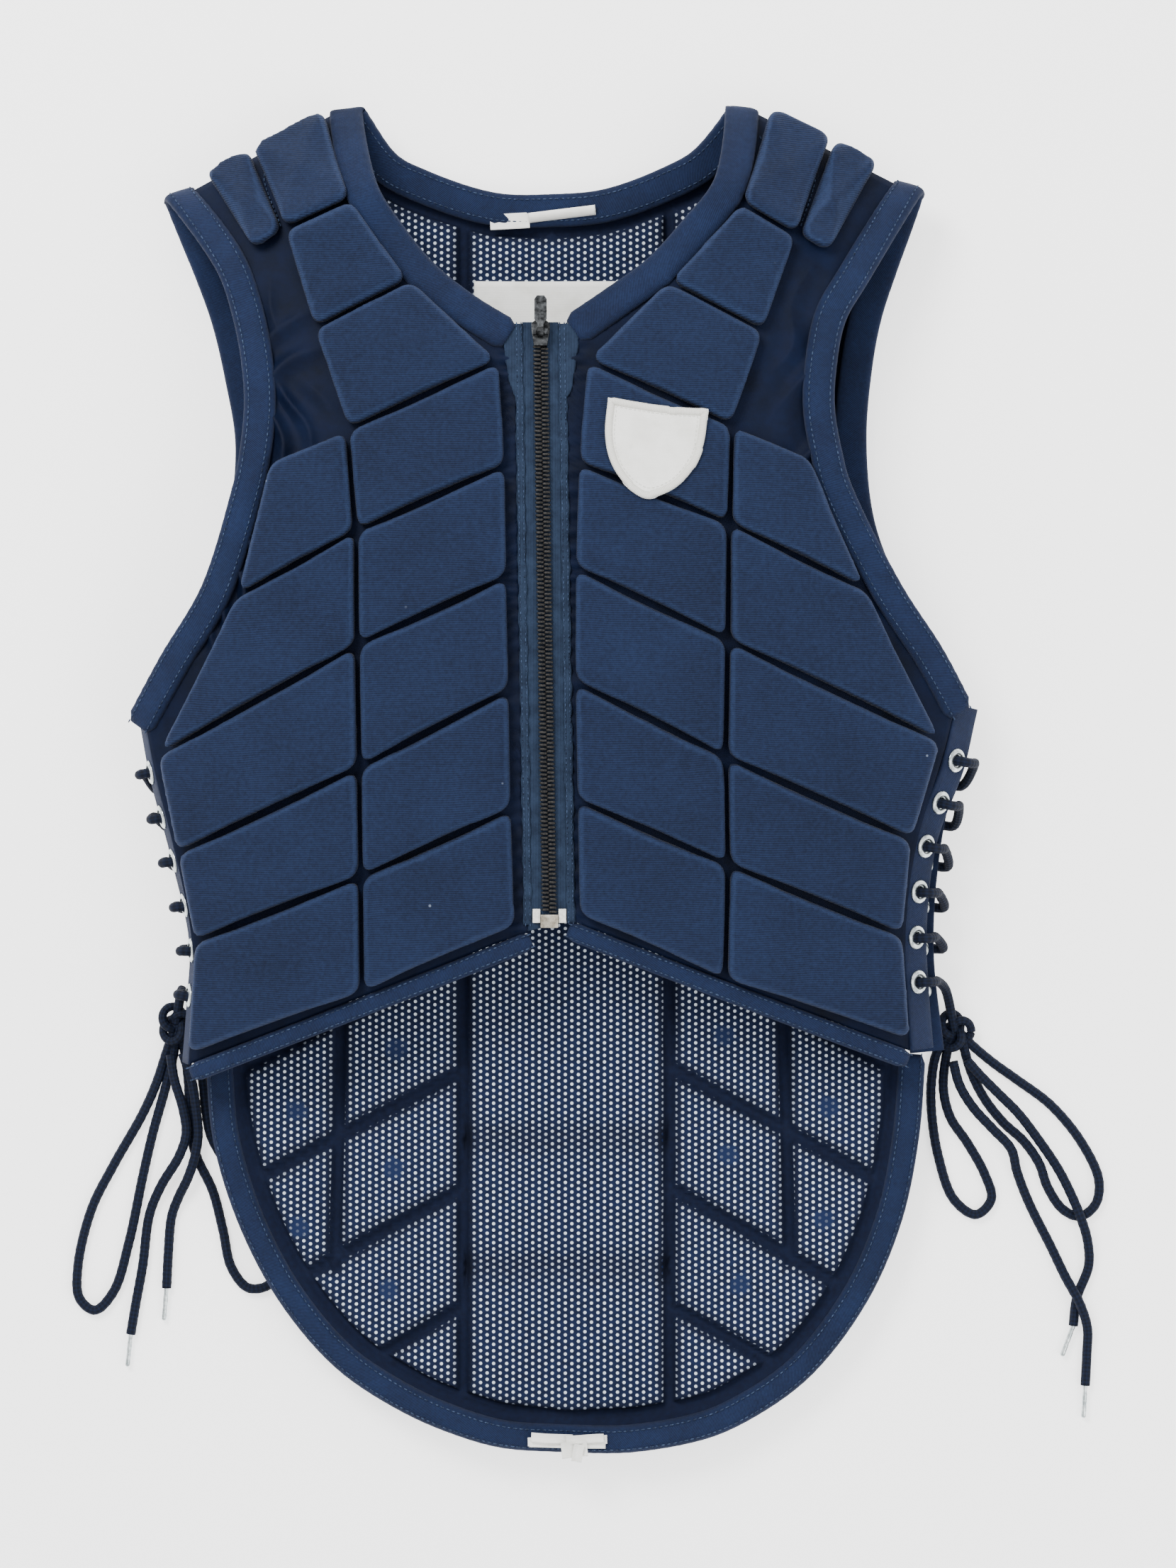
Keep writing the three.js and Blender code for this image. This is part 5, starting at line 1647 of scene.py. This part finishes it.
def lace_route(side):
    """Round and round through both rows of eyelets, then to the knot."""
    clear = (CORD + STRIP_THICKNESS) / 2 + LACE_CLEARANCE
    beyond = STRIP_WIDTH / 2 + clear
    route = []
    front, back_holes = laced[side]
    for (centre, out, through), (low, low_out, low_through) in zip(front, back_holes):
        for lift, reach in (
            (-clear - EYELET_RISE, 0), (clear + EYELET_RISE, 0.5 * MM),
            (clear + EYELET_RISE, EYELET_DIAMETER / 2 + 1.5 * MM), (clear / 2, beyond),
        ):
            route.append(centre + through * lift + out * reach)
        for lift, reach in ((-clear / 2, beyond), (-clear, STRIP_WIDTH / 2 - 2 * MM), (-clear, 0.5 * MM), (clear, 0)):
            route.append(low + low_through * lift + low_out * reach)
    return route[:-3] + [Vector(KNOTS[side]) * MM]


KNOT_RADIUS = 6.5 * MM


def knot(side):
    """A trefoil, squashed towards the floor."""
    middle = Vector(KNOTS[side]) * MM
    line = []
    for i in range(96):
        angle = 4 * math.pi * i / 96
        swing = 1.5 * angle
        flat = KNOT_RADIUS * (2 + math.cos(swing)) / 2
        line.append(middle + Vector((math.cos(angle) * flat, 1.1 * math.sin(angle) * flat,
                                     0.42 * KNOT_RADIUS * math.sin(swing))))
    return tube(f"lace_knot_{side}", np.array(line), CORD, BRAID, CORD_SIDES, shape=braided, closed=True)


def tin_tip(name, start, aim, node):
    """A rolled tin tip with two crimps."""
    aim = Vector((*aim, 0)).normalized()
    line = np.array([start + aim * (TIP_LENGTH * k / 24) for k in range(25)])

    def crimped(place, angle):
        share = place / TIP_LENGTH
        dents = sum(math.exp(-(((share - at) / 0.05) ** 2)) for at in (0.22, 0.6))
        end = min(1.0, (1 - share) * 12 + 0.55)
        flat = 0.9 + 0.1 * math.cos(2 * angle)
        return end * (1 - dents * 0.14) * flat

    tip = tube(name, line, TIP_DIAMETER, PALE_METAL, 16, shape=crimped)
    return piece(tip, [node])


cord_lengths = {}
for side in SIDES:
    bow = piece(knot(side))
    route = lace_route(side)
    run, line = cord(f"lace_{side}", route, replaced=[f"lacing_{side}"])
    cord_lengths[run.name] = line_length(line)
    for i, places in enumerate(LOOPS[side], 1):
        places = [Vector(p) * MM for p in places]
        loop, line = cord(f"bow_loop_{i}_{side}", places)
        cord_lengths[loop.name] = line_length(line)
    for i, places in enumerate(ENDS[side], 1):
        places = [Vector(p) * MM for p in places]
        aim = Vector((*TIP_AIMS[side][i - 1], 0)).normalized()
        tip = tin_tip(f"tin_tip_{i}_{side}", places[-1] - aim * (1 * MM), TIP_AIMS[side][i - 1], f"aglet_{i}_{side}")
        end, line = cord(f"bow_end_{i}_{side}", places,
                         replaced=[f"lace_end_{i}_{side}"])
        cord_lengths[end.name] = line_length(line)
print({name: round(length, 3) for name, length in cord_lengths.items()})

# %% [markdown]
# ## Badge and labels
# The badge is a bare white crest with a thick embroidered rim. The labels are bare too: one on the lining, one at
# the neck with a loop seen edge-on, and folded leaves at the tail.

# %% Badge
BADGE_MIDDLE = Vector((0.238 * HALF_WIDTH, 0.478 * HALF_LENGTH))
BADGE_SIZE = Vector((57, 54)) * MM
BADGE_TURN = math.radians(-6.5)
BADGE_RISE = 12.4 * MM
BADGE_THICKNESS = 1.3 * MM
RIM_WIDTH = 4.2 * MM
CREST = [
    (-0.5, 0.47), (-0.46, 0.467), (-0.3, 0.455), (0, 0.445), (0.3, 0.455), (0.46, 0.467), (0.5, 0.47), (0.5, 0.43),
    (0.49, 0.1), (0.41, -0.18), (0.25, -0.4), (0.06, -0.52), (0, -0.53), (-0.06, -0.52), (-0.25, -0.4),
    (-0.41, -0.18), (-0.49, 0.1), (-0.5, 0.43),
]


def satin_finish():
    paint = Paint("white_satin", roughness=0.55)
    u, v, _ = paint.parts(paint.along())
    ribs = (u * (2 * math.pi / (0.9 * MM))).maths("SINE") * 0.5 + 0.5
    cloud = paint.noise(paint.place(), 200, 2)
    paint.colour(paint.mix(ribs * 0.5 + cloud * 0.3, WORN_WHITE, WHITE_CLOTH))
    paint.bump(ribs, 0.3 * MM, 0.7)
    return paint.material


SATIN = satin_finish()


def on_badge(across, along, rise):
    turned_x = across * math.cos(BADGE_TURN) - along * math.sin(BADGE_TURN)
    turned_y = across * math.sin(BADGE_TURN) + along * math.cos(BADGE_TURN)
    point, _ = over_front(BADGE_MIDDLE.x + turned_x, BADGE_MIDDLE.y + turned_y, BADGE_RISE + rise, "right")
    return point


def badge():
    outline = smooth_line([(x * BADGE_SIZE.x, y * BADGE_SIZE.y, 0) for x, y in CREST], 1.5 * MM, closed=True)[:-1]
    rings = []
    for share, rise in ((0.98, 0), (1.0, 0.5), (0.98, 1.0), (0.9, 1.0), (0.75, 1.02), (0.5, 1.1), (0.25, 1.15),
                        (0.02, 1.18)):
        rings.append([on_badge(x * share, y * share, rise * BADGE_THICKNESS) for x, y, _ in outline])
    crest = ringed("crest_badge", rings, LABEL, 160 * MM)
    piece(crest, ["badge"])
    inset = 1 - RIM_WIDTH / BADGE_SIZE.x
    rim_line = [on_badge(x * inset, y * inset, BADGE_THICKNESS * 0.9) for x, y, _ in outline]
    rim = tube("crest_rim", np.array([tuple(p) for p in rim_line]), RIM_WIDTH, SATIN, 12, closed=True)
    piece(rim)
    inner = 1 - 2.6 * RIM_WIDTH / BADGE_SIZE.x
    row = [on_badge(x * inner, y * inner, BADGE_THICKNESS * 1.05) for x, y, _ in outline]
    stitches("crest_stitches", [row], WHITE_THREAD, True, 2.6, 1.9, 0.6)


badge()


# %% Labels
def patch(name, width, length, middle, lift, node=None, thickness=0.7 * MM, turn=0.0, cells_across=28):
    """A thin cloth rectangle. lift(u, v) raises it, with u and v from -1 to 1."""
    across, down = cells_across, max(6, round(cells_across * length / width))
    points = []
    for level in (0, 1):
        for i in range(down + 1):
            for j in range(across + 1):
                u, v = 2 * j / across - 1, 2 * i / down - 1
                x, y = u * width / 2, v * length / 2
                spot = Vector((x * math.cos(turn) - y * math.sin(turn), x * math.sin(turn) + y * math.cos(turn),
                               lift(u, v) + level * thickness))
                points.append(spot + Vector(middle))
    size = (across + 1) * (down + 1)
    faces = []
    for i in range(down):
        for j in range(across):
            a = i * (across + 1) + j
            b = a + across + 1
            faces.append((a, a + 1, b + 1, b))
            faces.append((size + a, size + b, size + b + 1, size + a + 1))
    rim = [j for j in range(across + 1)]
    rim += [i * (across + 1) + across for i in range(1, down + 1)]
    rim += [down * (across + 1) + j for j in range(across - 1, -1, -1)]
    rim += [i * (across + 1) for i in range(down - 1, 0, -1)]
    for one, other in zip(rim, rim[1:] + rim[:1]):
        faces.append((one, other, size + other, size + one))
    label = mesh_from(name, points, faces, LABEL)
    return piece(label, [node] if node else [])


LABEL_MIDDLE = (0, 0.665 * HALF_LENGTH, BACK_HEIGHT + 2.3 * MM)
patch("lining_patch", 91 * MM, 60 * MM, LABEL_MIDDLE, lambda u, v: 0.9 * MM * (u * u * v * v) + 0.3 * MM * math.sin(3 * u),
      "lining_label")
SIZE_MIDDLE = Vector((-0.055 * HALF_WIDTH, 0.815 * HALF_LENGTH + 6 * MM, BACK_HEIGHT + 2.2 * MM))
patch("neck_patch", 23 * MM, 9 * MM, SIZE_MIDDLE + Vector((-11.5, 0, 0)) * MM,
      lambda u, v: 0.5 * MM * math.sin(2 * u + v), "size_label", turn=math.radians(3))
patch("neck_patch_loop", 39 * MM, 5.5 * MM, SIZE_MIDDLE + Vector((19, 4, 2)) * MM,
      lambda u, v: 1.5 * MM * (1 - v * v) + 1.2 * MM * v, turn=math.radians(7))
CARE_MIDDLE = Vector((0.037 * HALF_WIDTH, -0.967 * HALF_LENGTH, 29.6 * MM))
CARE_LEAVES = [
    (46, 5, 0, 0, 2), (44, 5, 0, -1.6, -1), (24, 5.5, -9, 1.5, -3), (22, 5, 10, 1.3, 3), (15, 9, 4, -4.5, 6),
    (6, 10, 6, -6.5, -10),
]
for i, (width, length, across, along, turn) in enumerate(CARE_LEAVES):
    patch(f"care_leaf_{i + 1}", width * MM, length * MM, CARE_MIDDLE + Vector((across, along, i * 0.9)) * MM,
          lambda u, v: 0.7 * MM * math.sin(3 * u + i) + 0.9 * MM * v * v, "care_label" if i == 0 else None,
          turn=math.radians(turn))

# %% [markdown]
# ## Floor and light
# A white floor, a large soft light high above for the shape, and a bright even surround, as in a catalogue picture.

# %% Floor and light
FLOOR_SIZE = 60.0
FLOOR_GLOW = 1.3


def floor():
    bm = bmesh.new()
    bmesh.ops.create_grid(bm, x_segments=1, y_segments=1, size=FLOOR_SIZE / 2)
    mesh = bpy.data.meshes.new("floor")
    bm.to_mesh(mesh)
    bm.free()
    ground = link("floor", mesh)
    ground.location.z = -0.2 * MM
    paint = Paint("floor_white", roughness=0.9)
    paint.colour((0.92, 0.92, 0.92))
    paint.shader.inputs["Emission Color"].default_value = (1, 1, 1, 1)
    paint.shader.inputs["Emission Strength"].default_value = FLOOR_GLOW
    painted(ground, paint.material, smooth=False)
    ground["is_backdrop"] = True


def area_light(name, place, aim, size, power):
    data = bpy.data.lights.new(name, "AREA")
    data.shape = "DISK"
    data.size = size
    data.energy = power
    lamp = bpy.data.objects.new(name, data)
    lamp.location = place
    lamp.rotation_euler = (Vector(aim) - Vector(place)).to_track_quat("-Z", "Y").to_euler()
    bpy.context.scene.collection.objects.link(lamp)


floor()
area_light("key", (-0.9, 1.3, 1.9), (0, 0, 0), 1.0, 62)
area_light("fill", (1.3, -0.7, 1.8), (0, 0, 0), 1.4, 20)
world = bpy.data.worlds.new("surround")
world.use_nodes = True
world.node_tree.nodes["Background"].inputs["Color"].default_value = (1, 1, 1, 1)
world.node_tree.nodes["Background"].inputs["Strength"].default_value = 1.6
bpy.context.scene.world = world

# %% Finish
bpy.context.view_layer.update()
boxes = {"cad": [list(corner) for corner in cad_box], "visual": [list(corner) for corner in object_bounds()]}
for name, box in boxes.items():
    print(name, [round((b - a) / MM, 1) for a, b in zip(*box)], "mm")
